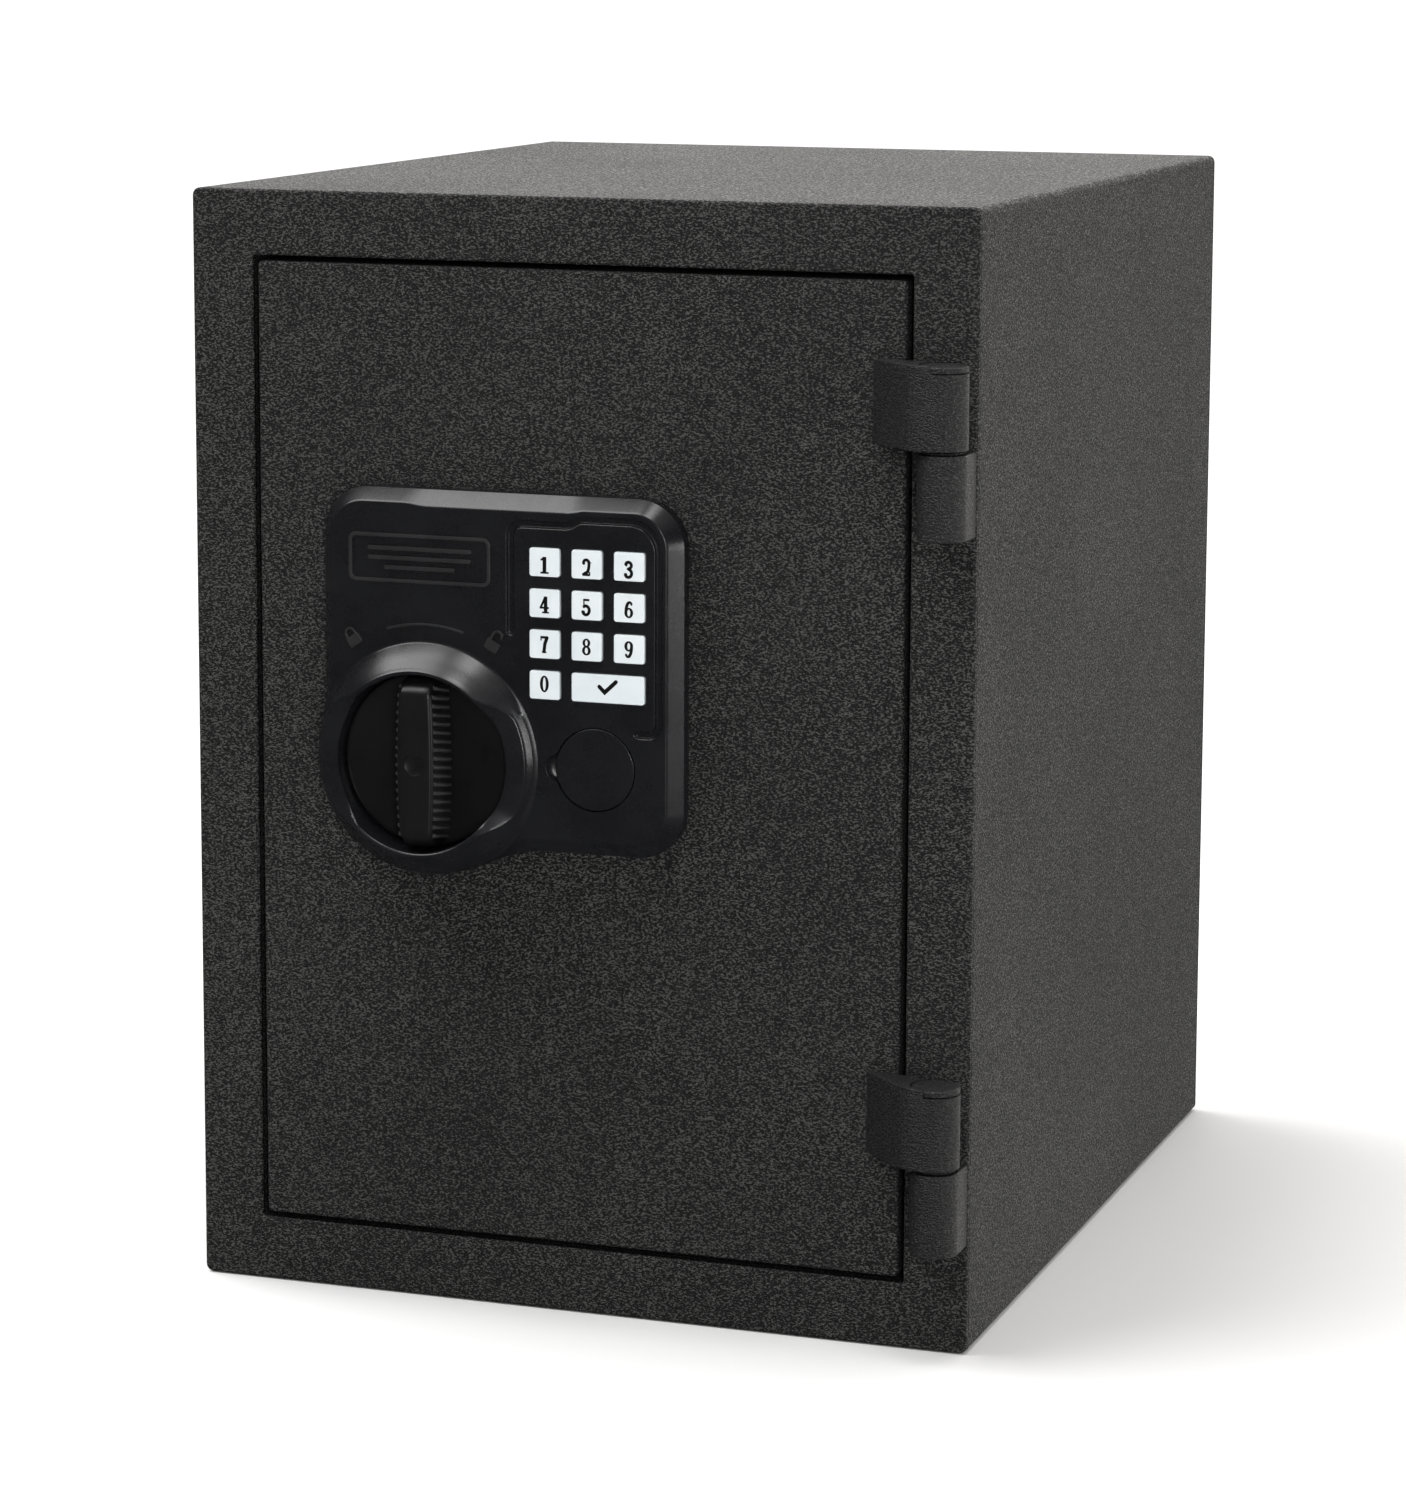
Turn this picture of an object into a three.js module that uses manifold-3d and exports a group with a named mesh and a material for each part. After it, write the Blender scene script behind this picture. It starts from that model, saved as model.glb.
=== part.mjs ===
// A compact fire-resistant home safe with a keypad lock, as an assembly of its separate pieces.
// Lengths are millimetres. X runs to the hinge side, Y to the back and Z up, from the middle of the base.
// The door is shut and its locking bolts are drawn back, so that it is free to swing.
import * as THREE from "three";
import { mergeVertices } from "three/addons/utils/BufferGeometryUtils.js";
import Module from "manifold-3d";

const wasm = await Module();
wasm.setup();

// Cabinet
const WIDTH = 325;
const DEPTH = 390;
const HEIGHT = 445;
const SHEET = 2; // outer sheet steel
const RIM = 2.3; // depth of the front and back sheets at their edge
const SOFT_EDGE = 0.8; // bevel on the edge of a pressed sheet
const FIT = 0.3; // gap between pieces that touch
const CORNER = 3; // radius of the cabinet's long edges
const BORDER = 26; // width of the frame round the door
const JAMB_DEPTH = 60; // how far the frame's jamb reaches in
const LINER_WALL = 2.5;
const BACK_WALL = 30; // insulated back, with its liner
const SEAL_WIDTH = 7;
const MAT_THICKNESS = 2.5;
const SHELF_HEIGHT = 225; // underside of the shelf
const SHELF_THICKNESS = 3;
const SHELF_LIP = 12;
const RAIL = { width: 8, height: 5.6, setback: 40, length: 245 };

// Door
const DOOR_GAP = 2.2;
const DOOR_PLATE = 2.5;
const DOOR_RETURN = 18; // depth of the plate's folded edge
const INSULATION_BACK = 28; // where the door's fire board ends and the boltwork starts
const COVER_INSET = 8; // the inner cover is this much smaller than the plate all round
const COVER_BACK = 57;
const COVER_WALL = 2.5;

// Hinges
const HINGE = { x: 152.5, proud: 12.4, radius: 9.6, pin: 4, bore: 4.3 };
const HINGE_FEET = [43.5, 320.5]; // underside of each hinge
const KNUCKLE_HEIGHT = 32.7;
const LEAF_HEIGHT = 32.4;
// The leaf reaches over the door from the hinge's axis. From its thin edge it ramps up to a shoulder in
// front of the axis, and its underside stands a lap clear of the door's edge as far as the heel.
const LEAF = { reach: 31, edge: 1.6, shoulder: 13, rise: 5.6, turn: 8, heel: 12, lap: 1.5 };
const WASHER_THICKNESS = 0.8;
const PIN_HEAD_THICKNESS = 2.6;

// Lock on the front of the door
const DIAL = { x: -58.3, z: 222.8, radius: 34.9 };
const BEZEL = { x0: -103.8, x1: 47.5, z0: 188.2, z1: 329.7, corner: 19, height: 12, bevel: 4.5, wall: 2.5 };
const COLLAR = { base: 47.6, shoulder: 46.2, crest: 37.6, crestHeight: 24, bore: 35.4, floor: 4, fillet: 60 };
const SCALLOP = { radius: 53, level: 16 }; // cylinder that cuts the finger scallops in the collar
const GRIP = { length: 67, width: 13.5, endWidth: 11.5, height: 24 };
const KEY = { width: 12.5, height: 11.2, corner: 1, proud: 1, flange: 0.9 };
const KEY_COLUMNS = [-7.7, 9.8, 27.3];
const KEY_ROWS = [304.1, 288, 271.9, 255.8];
const ENTER_KEY = { x: 18.55, width: 30 };
const KEYPAD = { side: 8.3, below: 6.4, above: 8, mat: [7.2, 5.6], board: [4.8, 3.2] }; // mat and board
const PORT = { x: 13, z: 223.3, radius: 16.6 }; // round port of the key lock
const CYLINDER = { radius: 9.5, bore: 6.8, plug: 6.5, face: 7, back: 26 };
const SPINDLE = { radius: 4, bore: 4.3, front: 13.6, clip: 6, hole: 8 };
const BUSHING = { radius: 7.7, bore: 4.4, length: 5.5 };
const CABLE_HOLE = 5; // radius of the way through the door for the keypad's cable

// Boltwork in the door, as distances behind the door's front face
const BOLT = { radius: 9, travel: 20, depth: 41, pitch: 150, tip: -125.8, foot: -99.3 };
const FIXED_BOLT = { radius: 8, foot: 100, tip: 147 };
const CHANNEL = { wall: 1.5, reach: 13, front: 29.5, back: 58.5, z0: 132, z1: 314 }; // strike channels
const CARRIAGE = { plate: 36, thickness: 3, flangeLeft: -99, flangeFront: 33, flangeBack: 49, bar: -80 };
const CAM = { radius: 35, front: 40, back: 44, pin: 2.2, slot: 2.6, inner: 9.5 };
const PLUNGER = { x: -82, radius: 3.5, travel: 5, depth: 37.5, top: 137.6, length: 27.6 };
const COIL = { half: 11, front: 30.6, back: 44.4, z: [95, 131] };
const GUIDE = { right: -20, foot: 90, above: 20, flange: 16, back: 52 };
const BRACKET_REACH = 18;
const CONTROL_BOARD = { x: [30, 85], z: [160, 205], gap: 4, thickness: 1.6 };
const BATTERY = { radius: 7.1, length: 50.5, count: 4, pitch: 15 };
const BATTERY_BOX = { x0: 18, x1: 76, z0: 62, z1: 126, front: 36, back: 54.5, wall: 2 };

const FRONT = -DEPTH / 2;
const QUARTER = Math.PI / 2;
const FINISHES = {
  textured_paint: { color: 0x2c2c2e, roughness: 0.72, metalness: 0.2 },
  hinge_paint: { color: 0x303032, roughness: 0.6, metalness: 0.25 },
  steel: { color: 0xa9adb0, roughness: 0.35, metalness: 0.9 },
  plated: { color: 0xc9cccd, roughness: 0.22, metalness: 1 },
  brass: { color: 0xb4924f, roughness: 0.35, metalness: 0.9 },
  fire_board: { color: 0xb9b4a8, roughness: 0.95, metalness: 0 },
  liner: { color: 0x3a3a3c, roughness: 0.7, metalness: 0 },
  seal: { color: 0x3d3a37, roughness: 0.9, metalness: 0 },
  carpet: { color: 0x26272a, roughness: 1, metalness: 0 },
  rubber: { color: 0x1d1d1f, roughness: 0.85, metalness: 0 },
  bezel: { color: 0x1c1d1f, roughness: 0.42, metalness: 0 },
  knob: { color: 0x151516, roughness: 0.4, metalness: 0 },
  key: { color: 0xdde5ea, roughness: 0.45, metalness: 0 },
  board: { color: 0x1f5a3a, roughness: 0.55, metalness: 0 },
  battery: { color: 0x3f434a, roughness: 0.4, metalness: 0.3 },
};

// Y of a plane this far behind the front face, or in front of it.
const behind = (distance) => FRONT + distance;
const proud = (distance) => FRONT - distance;

// A closed geometry as a solid that can be joined and cut.
function solid(geometry) {
  const plain = geometry.index ? geometry.toNonIndexed() : geometry;
  plain.deleteAttribute("normal");
  plain.deleteAttribute("uv");
  const merged = mergeVertices(plain, 1e-4);
  return new wasm.Manifold(
    new wasm.Mesh({
      numProp: 3,
      vertProperties: merged.attributes.position.array,
      triVerts: new Uint32Array(merged.index.array),
    }),
  );
}

function block([x0, x1], [y0, y1], [z0, z1]) {
  const geometry = new THREE.BoxGeometry(x1 - x0, y1 - y0, z1 - z0);
  return solid(geometry.translate((x0 + x1) / 2, (y0 + y1) / 2, (z0 + z1) / 2));
}

// Round bars along each axis, from one end to the other.
function rodX(radius, [x0, x1], y, z, sides = 24) {
  const geometry = new THREE.CylinderGeometry(radius, radius, x1 - x0, sides);
  return solid(geometry.rotateZ(QUARTER).translate((x0 + x1) / 2, y, z));
}

function rodY(radius, x, [y0, y1], z, sides = 24) {
  const geometry = new THREE.CylinderGeometry(radius, radius, y1 - y0, sides);
  return solid(geometry.translate(x, (y0 + y1) / 2, z));
}

function rodZ(radius, x, y, [z0, z1], sides = 24) {
  const geometry = new THREE.CylinderGeometry(radius, radius, z1 - z0, sides);
  return solid(geometry.rotateX(QUARTER).translate(x, y, (z0 + z1) / 2));
}

// A rectangle in X and Z with round corners.
function roundedRectangle([x0, x1], [z0, z1], radius) {
  const outline = new THREE.Shape();
  outline.absarc(x1 - radius, z0 + radius, radius, -QUARTER, 0);
  outline.absarc(x1 - radius, z1 - radius, radius, 0, QUARTER);
  outline.absarc(x0 + radius, z1 - radius, radius, QUARTER, Math.PI);
  outline.absarc(x0 + radius, z0 + radius, radius, Math.PI, 3 * QUARTER);
  outline.closePath();
  return outline;
}

// An outline in X and Z, made solid between two planes of Y.
function slab(outline, [y0, y1], { bevel = 0, bevelWidth = bevel, segments = 2 } = {}) {
  const geometry = new THREE.ExtrudeGeometry(outline, {
    depth: y1 - y0 - 2 * bevel,
    bevelEnabled: bevel > 0,
    bevelThickness: bevel,
    bevelSize: bevelWidth,
    bevelOffset: -bevelWidth,
    bevelSegments: 2,
    curveSegments: segments,
  });
  return solid(geometry.rotateX(QUARTER).translate(0, y1 - bevel, 0));
}

// An outline in X and Y, made solid upwards from z = 0.
function column(outline, height) {
  return solid(new THREE.ExtrudeGeometry(outline, { depth: height, bevelEnabled: false, curveSegments: 4 }));
}

// A named mesh of one solid, with its own material.
function piece(name, shape, finish) {
  const { vertProperties, triVerts } = shape.getMesh();
  const geometry = new THREE.BufferGeometry();
  geometry.setAttribute("position", new THREE.BufferAttribute(vertProperties, 3));
  geometry.setIndex(new THREE.BufferAttribute(triVerts, 1));
  geometry.computeVertexNormals();
  const mesh = new THREE.Mesh(geometry, new THREE.MeshStandardMaterial(FINISHES[finish]));
  mesh.name = name;
  return mesh;
}

const OPENING = { x: WIDTH / 2 - BORDER, z0: BORDER, z1: HEIGHT - BORDER };
const DOOR = { x: OPENING.x - DOOR_GAP, z0: OPENING.z0 + DOOR_GAP, z1: OPENING.z1 - DOOR_GAP };
const COVER = { x: DOOR.x - COVER_INSET, z0: DOOR.z0 + COVER_INSET, z1: DOOR.z1 - COVER_INSET };
const ROOM = {
  x: COVER.x - SEAL_WIDTH - 1,
  z0: COVER.z0 + SEAL_WIDTH + 1,
  z1: COVER.z1 - SEAL_WIDTH - 1,
  front: JAMB_DEPTH + FIT,
  back: DEPTH - BACK_WALL,
};
const BOLT_HEIGHTS = [DIAL.z - BOLT.pitch / 2, DIAL.z + BOLT.pitch / 2];
const around = ({ x, z0, z1 }, margin) => [[-x - margin, x + margin], [z0 - margin, z1 + margin]];

// A block on one side of the cabinet, from one distance off the middle to another.
function sideBlock(side, [inner, outer], y, z) {
  return block(side < 0 ? [-outer, -inner] : [inner, outer], y, z);
}

// The strike channel behind the jamb, which the bolts run into, grown by a margin.
function channelBlock(side, inner, margin) {
  const outer = OPENING.x + CHANNEL.reach;
  const y = [behind(CHANNEL.front - margin), behind(CHANNEL.back + margin)];
  return sideBlock(side, [inner, outer + margin], y, [CHANNEL.z0 - margin, CHANNEL.z1 + margin]);
}

function buildCabinet() {
  const cabinet = new THREE.Group();
  const full = roundedRectangle([-WIDTH / 2, WIDTH / 2], [0, HEIGHT], CORNER);
  const [innerX, innerZ] = around({ x: WIDTH / 2, z0: 0, z1: HEIGHT }, -SHEET);
  const sides = [-1, 1];

  // The wrap is one sheet folded into a tube: both sides, the top and the bottom.
  const wrapHollow = block(innerX, [FRONT, -FRONT], innerZ);
  const wrap = slab(full, [behind(RIM + FIT), -behind(RIM + FIT)]).subtract(wrapHollow);
  cabinet.add(piece("outer_shell", wrap, "textured_paint"));
  const rear = slab(full, [-behind(RIM), -FRONT], { bevel: SOFT_EDGE });
  cabinet.add(piece("back_panel", rear, "textured_paint"));

  // The front frame is the face folded back into the jamb. At each side the jamb is cut away in front of
  // the strike channel, so that the bolts catch behind what is left of it.
  const [openX, openZ] = around(OPENING, 0);
  const [jambX, jambZ] = around(OPENING, SHEET);
  const face = slab(full, [FRONT, behind(RIM)], { bevel: SOFT_EDGE });
  const jamb = block(jambX, [behind(1), behind(JAMB_DEPTH)], jambZ);
  let frame = face.add(jamb).subtract(block(openX, [behind(-5), behind(JAMB_DEPTH + 5)], openZ));
  for (const side of sides) {
    const cutY = [behind(CHANNEL.front), behind(JAMB_DEPTH + 5)];
    frame = frame.subtract(sideBlock(side, [OPENING.x - 5, OPENING.x + 5], cutY, [CHANNEL.z0, CHANNEL.z1]));
  }
  cabinet.add(piece("front_frame", frame, "textured_paint"));
  for (const side of sides) {
    const jambBack = OPENING.x + SHEET + FIT;
    const channel = channelBlock(side, jambBack, CHANNEL.wall).subtract(channelBlock(side, jambBack - 1, 0));
    cabinet.add(piece("bolt_channel_" + (side < 0 ? "left" : "right"), channel, "steel"));
  }

  // The liner is a moulded box whose flange closes the jamb; cast insulation fills the space round both.
  const [roomX, roomZ] = around(ROOM, 0);
  const [linerX, linerZ] = around(ROOM, LINER_WALL);
  const flangeBack = ROOM.front + LINER_WALL;
  const flange = block(jambX, [behind(ROOM.front), behind(flangeBack)], jambZ);
  const tub = block(linerX, [behind(ROOM.front), behind(ROOM.back + LINER_WALL)], linerZ);
  const liner = flange.add(tub).subtract(block(roomX, [behind(ROOM.front - 1), behind(ROOM.back)], roomZ));
  cabinet.add(piece("inner_liner", liner, "liner"));

  const [fillX, fillZ] = around({ x: WIDTH / 2, z0: 0, z1: HEIGHT }, -SHEET - FIT);
  const [wellX, wellZ] = around(OPENING, SHEET + FIT);
  const [coreX, coreZ] = around(ROOM, LINER_WALL + FIT);
  let fill = block(fillX, [behind(RIM + FIT), -behind(RIM + FIT)], fillZ)
    .subtract(block(wellX, [behind(-1), behind(flangeBack + FIT)], wellZ))
    .subtract(block(coreX, [behind(-1), behind(ROOM.back + LINER_WALL + FIT)], coreZ));
  for (const side of sides) fill = fill.subtract(channelBlock(side, OPENING.x, CHANNEL.wall + FIT));
  cabinet.add(piece("cabinet_insulation", fill, "fire_board"));

  // Heat-swelling strip on the liner's flange, behind the edge of the door's inner cover.
  const [stripX, stripZ] = around(ROOM, SEAL_WIDTH);
  const [stripHoleX, stripHoleZ] = around(ROOM, FIT);
  const stripY = [behind(COVER_BACK + 0.4), behind(JAMB_DEPTH)];
  const stripHole = block(stripHoleX, [behind(COVER_BACK), behind(JAMB_DEPTH + 1)], stripHoleZ);
  const strip = block(stripX, stripY, stripZ).subtract(stripHole);
  cabinet.add(piece("door_seal", strip, "seal"));

  // Inside: the carpet, and the rails that carry the shelf.
  const matX = [-ROOM.x + 0.8, ROOM.x - 0.8];
  const matZ = [ROOM.z0 + FIT, ROOM.z0 + FIT + MAT_THICKNESS];
  const mat = block(matX, [behind(ROOM.front + 5), behind(ROOM.back - 1)], matZ);
  cabinet.add(piece("floor_mat", mat, "carpet"));
  const railY = [behind(ROOM.front + RAIL.setback), behind(ROOM.front + RAIL.setback + RAIL.length)];
  const railZ = [SHELF_HEIGHT - FIT - RAIL.height, SHELF_HEIGHT - FIT];
  const wall = ROOM.x - FIT;
  cabinet.add(piece("shelf_rail_left", block([-wall, -wall + RAIL.width], railY, railZ), "liner"));
  cabinet.add(piece("shelf_rail_right", block([wall - RAIL.width, wall], railY, railZ), "liner"));
  return cabinet;
}

// The shelf is a steel tray with a folded front lip. It lifts off its rails.
function buildShelf() {
  const x = [-ROOM.x + 0.8, ROOM.x - 0.8];
  const y = [behind(ROOM.front + RAIL.setback - 8), behind(ROOM.back - 8)];
  const top = block(x, y, [SHELF_HEIGHT, SHELF_HEIGHT + SHELF_THICKNESS]);
  const lip = block(x, [y[0], y[0] + SHEET], [SHELF_HEIGHT - SHELF_LIP, SHELF_HEIGHT + 1]);
  return piece("shelf", top.add(lip), "textured_paint");
}

// The parts of one hinge, round an upright axis at the origin, standing on z = 0.
function buildHinge(level) {
  const { radius, pin, bore } = HINGE;
  const back = HINGE.proud - FIT;
  const leafFoot = KNUCKLE_HEIGHT + WASHER_THICKNESS + 2 * FIT;
  const leafTop = leafFoot + LEAF_HEIGHT;
  const headFoot = leafTop - PIN_HEAD_THICKNESS - 0.6;

  const foot = new THREE.Shape();
  foot.moveTo(-radius, back);
  foot.lineTo(-radius, 0);
  foot.absarc(0, 0, radius, Math.PI, 2 * Math.PI);
  foot.lineTo(radius, back);
  foot.closePath();
  const knuckle = column(foot, KNUCKLE_HEIGHT).subtract(rodZ(bore, 0, 0, [2, KNUCKLE_HEIGHT + 1]));

  // The leaf lies on the door, ramps up over the frame and ends in the upper barrel.
  const wing = new THREE.Shape();
  const doorEdge = DOOR.x - HINGE.x - 0.5;
  wing.moveTo(-LEAF.reach, back);
  wing.lineTo(-LEAF.reach, back - LEAF.edge);
  wing.lineTo(-LEAF.shoulder, -LEAF.rise);
  wing.quadraticCurveTo(-LEAF.turn, -radius, 0, -radius);
  wing.absarc(0, 0, radius, -QUARTER, 1.5 * QUARTER);
  wing.lineTo(-LEAF.heel, back - LEAF.lap);
  wing.lineTo(doorEdge, back - LEAF.lap);
  wing.lineTo(doorEdge, back);
  wing.closePath();
  const leaf = column(wing, LEAF_HEIGHT)
    .translate(0, 0, leafFoot)
    .subtract(rodZ(bore, 0, 0, [leafFoot - 1, leafTop + 1]))
    .subtract(rodZ(radius + 0.3, 0, 0, [headFoot - FIT, leafTop + 1]));

  const washerZ = [KNUCKLE_HEIGHT + FIT, KNUCKLE_HEIGHT + FIT + WASHER_THICKNESS];
  const washer = rodZ(radius - 0.2, 0, 0, washerZ).subtract(rodZ(pin + 0.35, 0, 0, [0, leafTop]));
  const shank = rodZ(pin, 0, 0, [3, headFoot + 1]);
  const head = rodZ(radius - 0.2, 0, 0, [headFoot, headFoot + PIN_HEAD_THICKNESS]);
  return {
    fixed: [
      piece("hinge_knuckle_" + level, knuckle, "hinge_paint"),
      piece("hinge_washer_" + level, washer, "brass"),
      piece("hinge_pin_" + level, shank.add(head), "hinge_paint"),
    ],
    swinging: [piece("hinge_leaf_" + level, leaf, "hinge_paint")],
  };
}

// The door itself: a folded plate, fire board behind it, and the moulded cover over the boltwork.
function buildDoorPanels() {
  const panels = new THREE.Group();
  const [plateX, plateZ] = around(DOOR, 0);
  const [trayX, trayZ] = around(DOOR, -SHEET);
  const [boardX, boardZ] = around(DOOR, -SHEET - FIT);
  const [coverX, coverZ] = around(COVER, 0);
  const [coverInX, coverInZ] = around(COVER, -COVER_WALL);
  const [stepX, stepZ] = around(COVER, -COVER_WALL - FIT);
  const through = [behind(-1), behind(INSULATION_BACK + 1)];
  const bores = (cylinder, cable) =>
    rodY(SPINDLE.hole, DIAL.x, through, DIAL.z)
      .add(rodY(cylinder, PORT.x, through, PORT.z))
      .add(rodY(cable, KEY_COLUMNS[1], through, KEY_ROWS[2], 12));

  const plateOutline = roundedRectangle(plateX, plateZ, 1.5);
  const plate = slab(plateOutline, [FRONT, behind(DOOR_RETURN)], { bevel: SOFT_EDGE })
    .subtract(block(trayX, [behind(DOOR_PLATE), behind(DOOR_RETURN + 1)], trayZ))
    .subtract(bores(CYLINDER.radius + 0.4, CABLE_HOLE));
  panels.add(piece("door_panel", plate, "textured_paint"));

  const board = block(boardX, [behind(DOOR_PLATE + FIT), behind(DOOR_RETURN)], boardZ)
    .add(block(stepX, [behind(DOOR_RETURN - 1), behind(INSULATION_BACK)], stepZ))
    .subtract(bores(CYLINDER.radius + 2.5, CABLE_HOLE + 1));
  panels.add(piece("door_insulation", board, "fire_board"));

  const rim = DOOR_RETURN + FIT;
  const rimOutline = roundedRectangle(...around(DOOR, -0.5), 2);
  const coverOutline = roundedRectangle(coverX, coverZ, 4);
  const { x0, x1, z0, z1 } = BATTERY_BOX;
  let cover = slab(rimOutline, [behind(rim), behind(rim + COVER_WALL)])
    .add(slab(coverOutline, [behind(rim - 5), behind(COVER_BACK)], { bevel: 1.5 }))
    .subtract(block(coverInX, [behind(0), behind(COVER_BACK - COVER_WALL)], coverInZ))
    .subtract(block([-WIDTH, WIDTH], [behind(0), behind(rim)], [0, HEIGHT]))
    .subtract(block([x0 - 1, x1 + 1], [behind(50), behind(COVER_BACK + 1)], [z0 - 1, z1 + 1]));
  for (const z of BOLT_HEIGHTS) {
    cover = cover
      .subtract(rodX(BOLT.radius + 0.4, [-WIDTH / 2, BOLT.foot], behind(BOLT.depth), z))
      .subtract(rodX(FIXED_BOLT.radius + 0.4, [FIXED_BOLT.foot, WIDTH / 2], behind(BOLT.depth), z));
  }
  panels.add(piece("door_inner_cover", cover, "liner"));
  return panels;
}

// The bezel's outline: a rounded rectangle whose lower left corner is the collar's circle, with a wide
// hollow fillet where the circle runs into the bottom edge.
function bezelOutline() {
  const { x0, x1, z0, z1, corner } = BEZEL;
  const { base, fillet } = COLLAR;
  const drop = DIAL.z - z0 + fillet;
  const filletX = DIAL.x + Math.sqrt((base + fillet) ** 2 - drop ** 2);
  const leaving = Math.PI - Math.acos((DIAL.x - x0) / base);
  const touching = Math.atan2(-drop, filletX - DIAL.x);
  const outline = new THREE.Shape();
  outline.moveTo(filletX, z0);
  outline.absarc(x1 - corner, z0 + corner, corner, -QUARTER, 0);
  outline.absarc(x1 - corner, z1 - corner, corner, 0, QUARTER);
  outline.absarc(x0 + corner, z1 - corner, corner, QUARTER, Math.PI);
  outline.absarc(DIAL.x, DIAL.z, base, leaving, 2 * Math.PI + touching);
  outline.absarc(filletX, z0 - fillet, fillet, Math.PI + touching, QUARTER, true);
  outline.closePath();
  return outline;
}

// The bezel is a hollow moulding that carries the keypad, the key lock and the collar round the knob.
function buildBezel() {
  const { x0, x1, z0, z1, corner, height, bevel, wall } = BEZEL;
  const outline = bezelOutline();
  const inset = bevel + 2;
  const hollow = roundedRectangle([x0 + inset, x1 - inset], [z0 + inset, z1 - inset], corner - inset);
  const shell = slab(outline, [proud(height), proud(-height)], { bevel: 7, bevelWidth: bevel, segments: 4 })
    .subtract(slab(hollow, [proud(height - wall), proud(-height - 1)]))
    .subtract(block([-WIDTH, WIDTH], [proud(FIT), proud(-2 * height)], [0, HEIGHT]));

  const profile = [
    [COLLAR.base, FIT],
    [COLLAR.shoulder, height],
    [COLLAR.crest, COLLAR.crestHeight],
    [COLLAR.bore, COLLAR.crestHeight - 0.6],
    [COLLAR.bore, COLLAR.floor],
    [11, COLLAR.floor],
    [11, COLLAR.floor - wall],
    [COLLAR.bore + wall, COLLAR.floor - wall],
    [COLLAR.bore + wall, FIT],
    [COLLAR.base, FIT],
  ].map(([radius, level]) => new THREE.Vector2(radius, level));
  const turned = new THREE.LatheGeometry(profile, 48).rotateX(Math.PI);
  const collar = solid(turned.translate(DIAL.x, FRONT, DIAL.z));

  // A cylinder lying across the collar cuts the two finger scallops in its rim.
  const scallopY = proud(SCALLOP.level + SCALLOP.radius);
  const scallops = rodX(SCALLOP.radius, [DIAL.x - 60, DIAL.x + 60], scallopY, DIAL.z, 64);
  const well = rodY(COLLAR.bore, DIAL.x, [proud(40), proud(COLLAR.floor)], DIAL.z, 48);
  const cup = rodY(PORT.radius + 2.4, PORT.x, [proud(height - wall), proud(5.5)], PORT.z);
  const port = rodY(PORT.radius, PORT.x, [proud(20), proud(8.9)], PORT.z, 32);
  const lockBore = rodY(CYLINDER.radius + 0.4, PORT.x, [proud(20), proud(0)], PORT.z);
  let bezel = shell.add(collar).subtract(well).subtract(scallops).add(cup).subtract(port).subtract(lockBore);
  for (const { x, z, width } of keyPlaces()) {
    const [halfWidth, halfHeight] = [width / 2 + FIT, KEY.height / 2 + FIT];
    const windowZ = [z - halfHeight, z + halfHeight];
    bezel = bezel.subtract(block([x - halfWidth, x + halfWidth], [proud(20), proud(5)], windowZ));
  }
  return piece("lock_bezel", bezel, "bezel");
}

// Where each key sits, by its name.
function keyPlaces() {
  const digits = [1, 2, 3, 4, 5, 6, 7, 8, 9].map((digit) => ({
    name: "key_" + digit,
    x: KEY_COLUMNS[(digit - 1) % 3],
    z: KEY_ROWS[Math.floor((digit - 1) / 3)],
    width: KEY.width,
  }));
  const last = KEY_ROWS[3];
  return [
    ...digits,
    { name: "key_0", x: KEY_COLUMNS[0], z: last, width: KEY.width },
    { name: "key_enter", x: ENTER_KEY.x, z: last, width: ENTER_KEY.width },
  ];
}

// A key: a rounded cap, and behind the bezel's wall a wider flange that keeps it in.
function buildKey({ name, width }) {
  const [w, h] = [width / 2, KEY.height / 2];
  const top = BEZEL.height + KEY.proud;
  const flangeY = [-(BEZEL.height - BEZEL.wall - FIT), -(BEZEL.height - BEZEL.wall - 1.1)];
  const cap = slab(roundedRectangle([-w, w], [-h, h], KEY.corner), [-top, flangeY[1]], { bevel: 0.4 });
  const flange = block([-w - KEY.flange, w + KEY.flange], flangeY, [-h - KEY.flange, h + KEY.flange]);
  return piece(name, cap.add(flange), "key");
}

function buildLockFront() {
  const lock = new THREE.Group();
  lock.add(buildBezel());
  const padX = [KEY_COLUMNS[0] - KEYPAD.side, KEY_COLUMNS[2] + KEYPAD.side];
  const padZ = [KEY_ROWS[3] - KEYPAD.below, KEY_ROWS[0] + KEYPAD.above];
  const pad = roundedRectangle(padX, padZ, 2);
  lock.add(piece("keypad_mat", slab(pad, KEYPAD.mat.map(proud)), "rubber"));
  lock.add(piece("keypad_board", slab(pad, KEYPAD.board.map(proud)), "board"));
  const housing = rodY(CYLINDER.radius, PORT.x, [proud(CYLINDER.face), behind(CYLINDER.back)], PORT.z)
    .subtract(rodY(CYLINDER.bore, PORT.x, [proud(20), behind(30)], PORT.z));
  lock.add(piece("lock_cylinder", housing, "brass"));
  const bushing = rodY(BUSHING.radius, DIAL.x, [behind(0), behind(BUSHING.length)], DIAL.z)
    .subtract(rodY(BUSHING.bore, DIAL.x, [behind(-5), behind(20)], DIAL.z));
  lock.add(piece("spindle_bushing", bushing, "key"));
  return lock;
}

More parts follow.
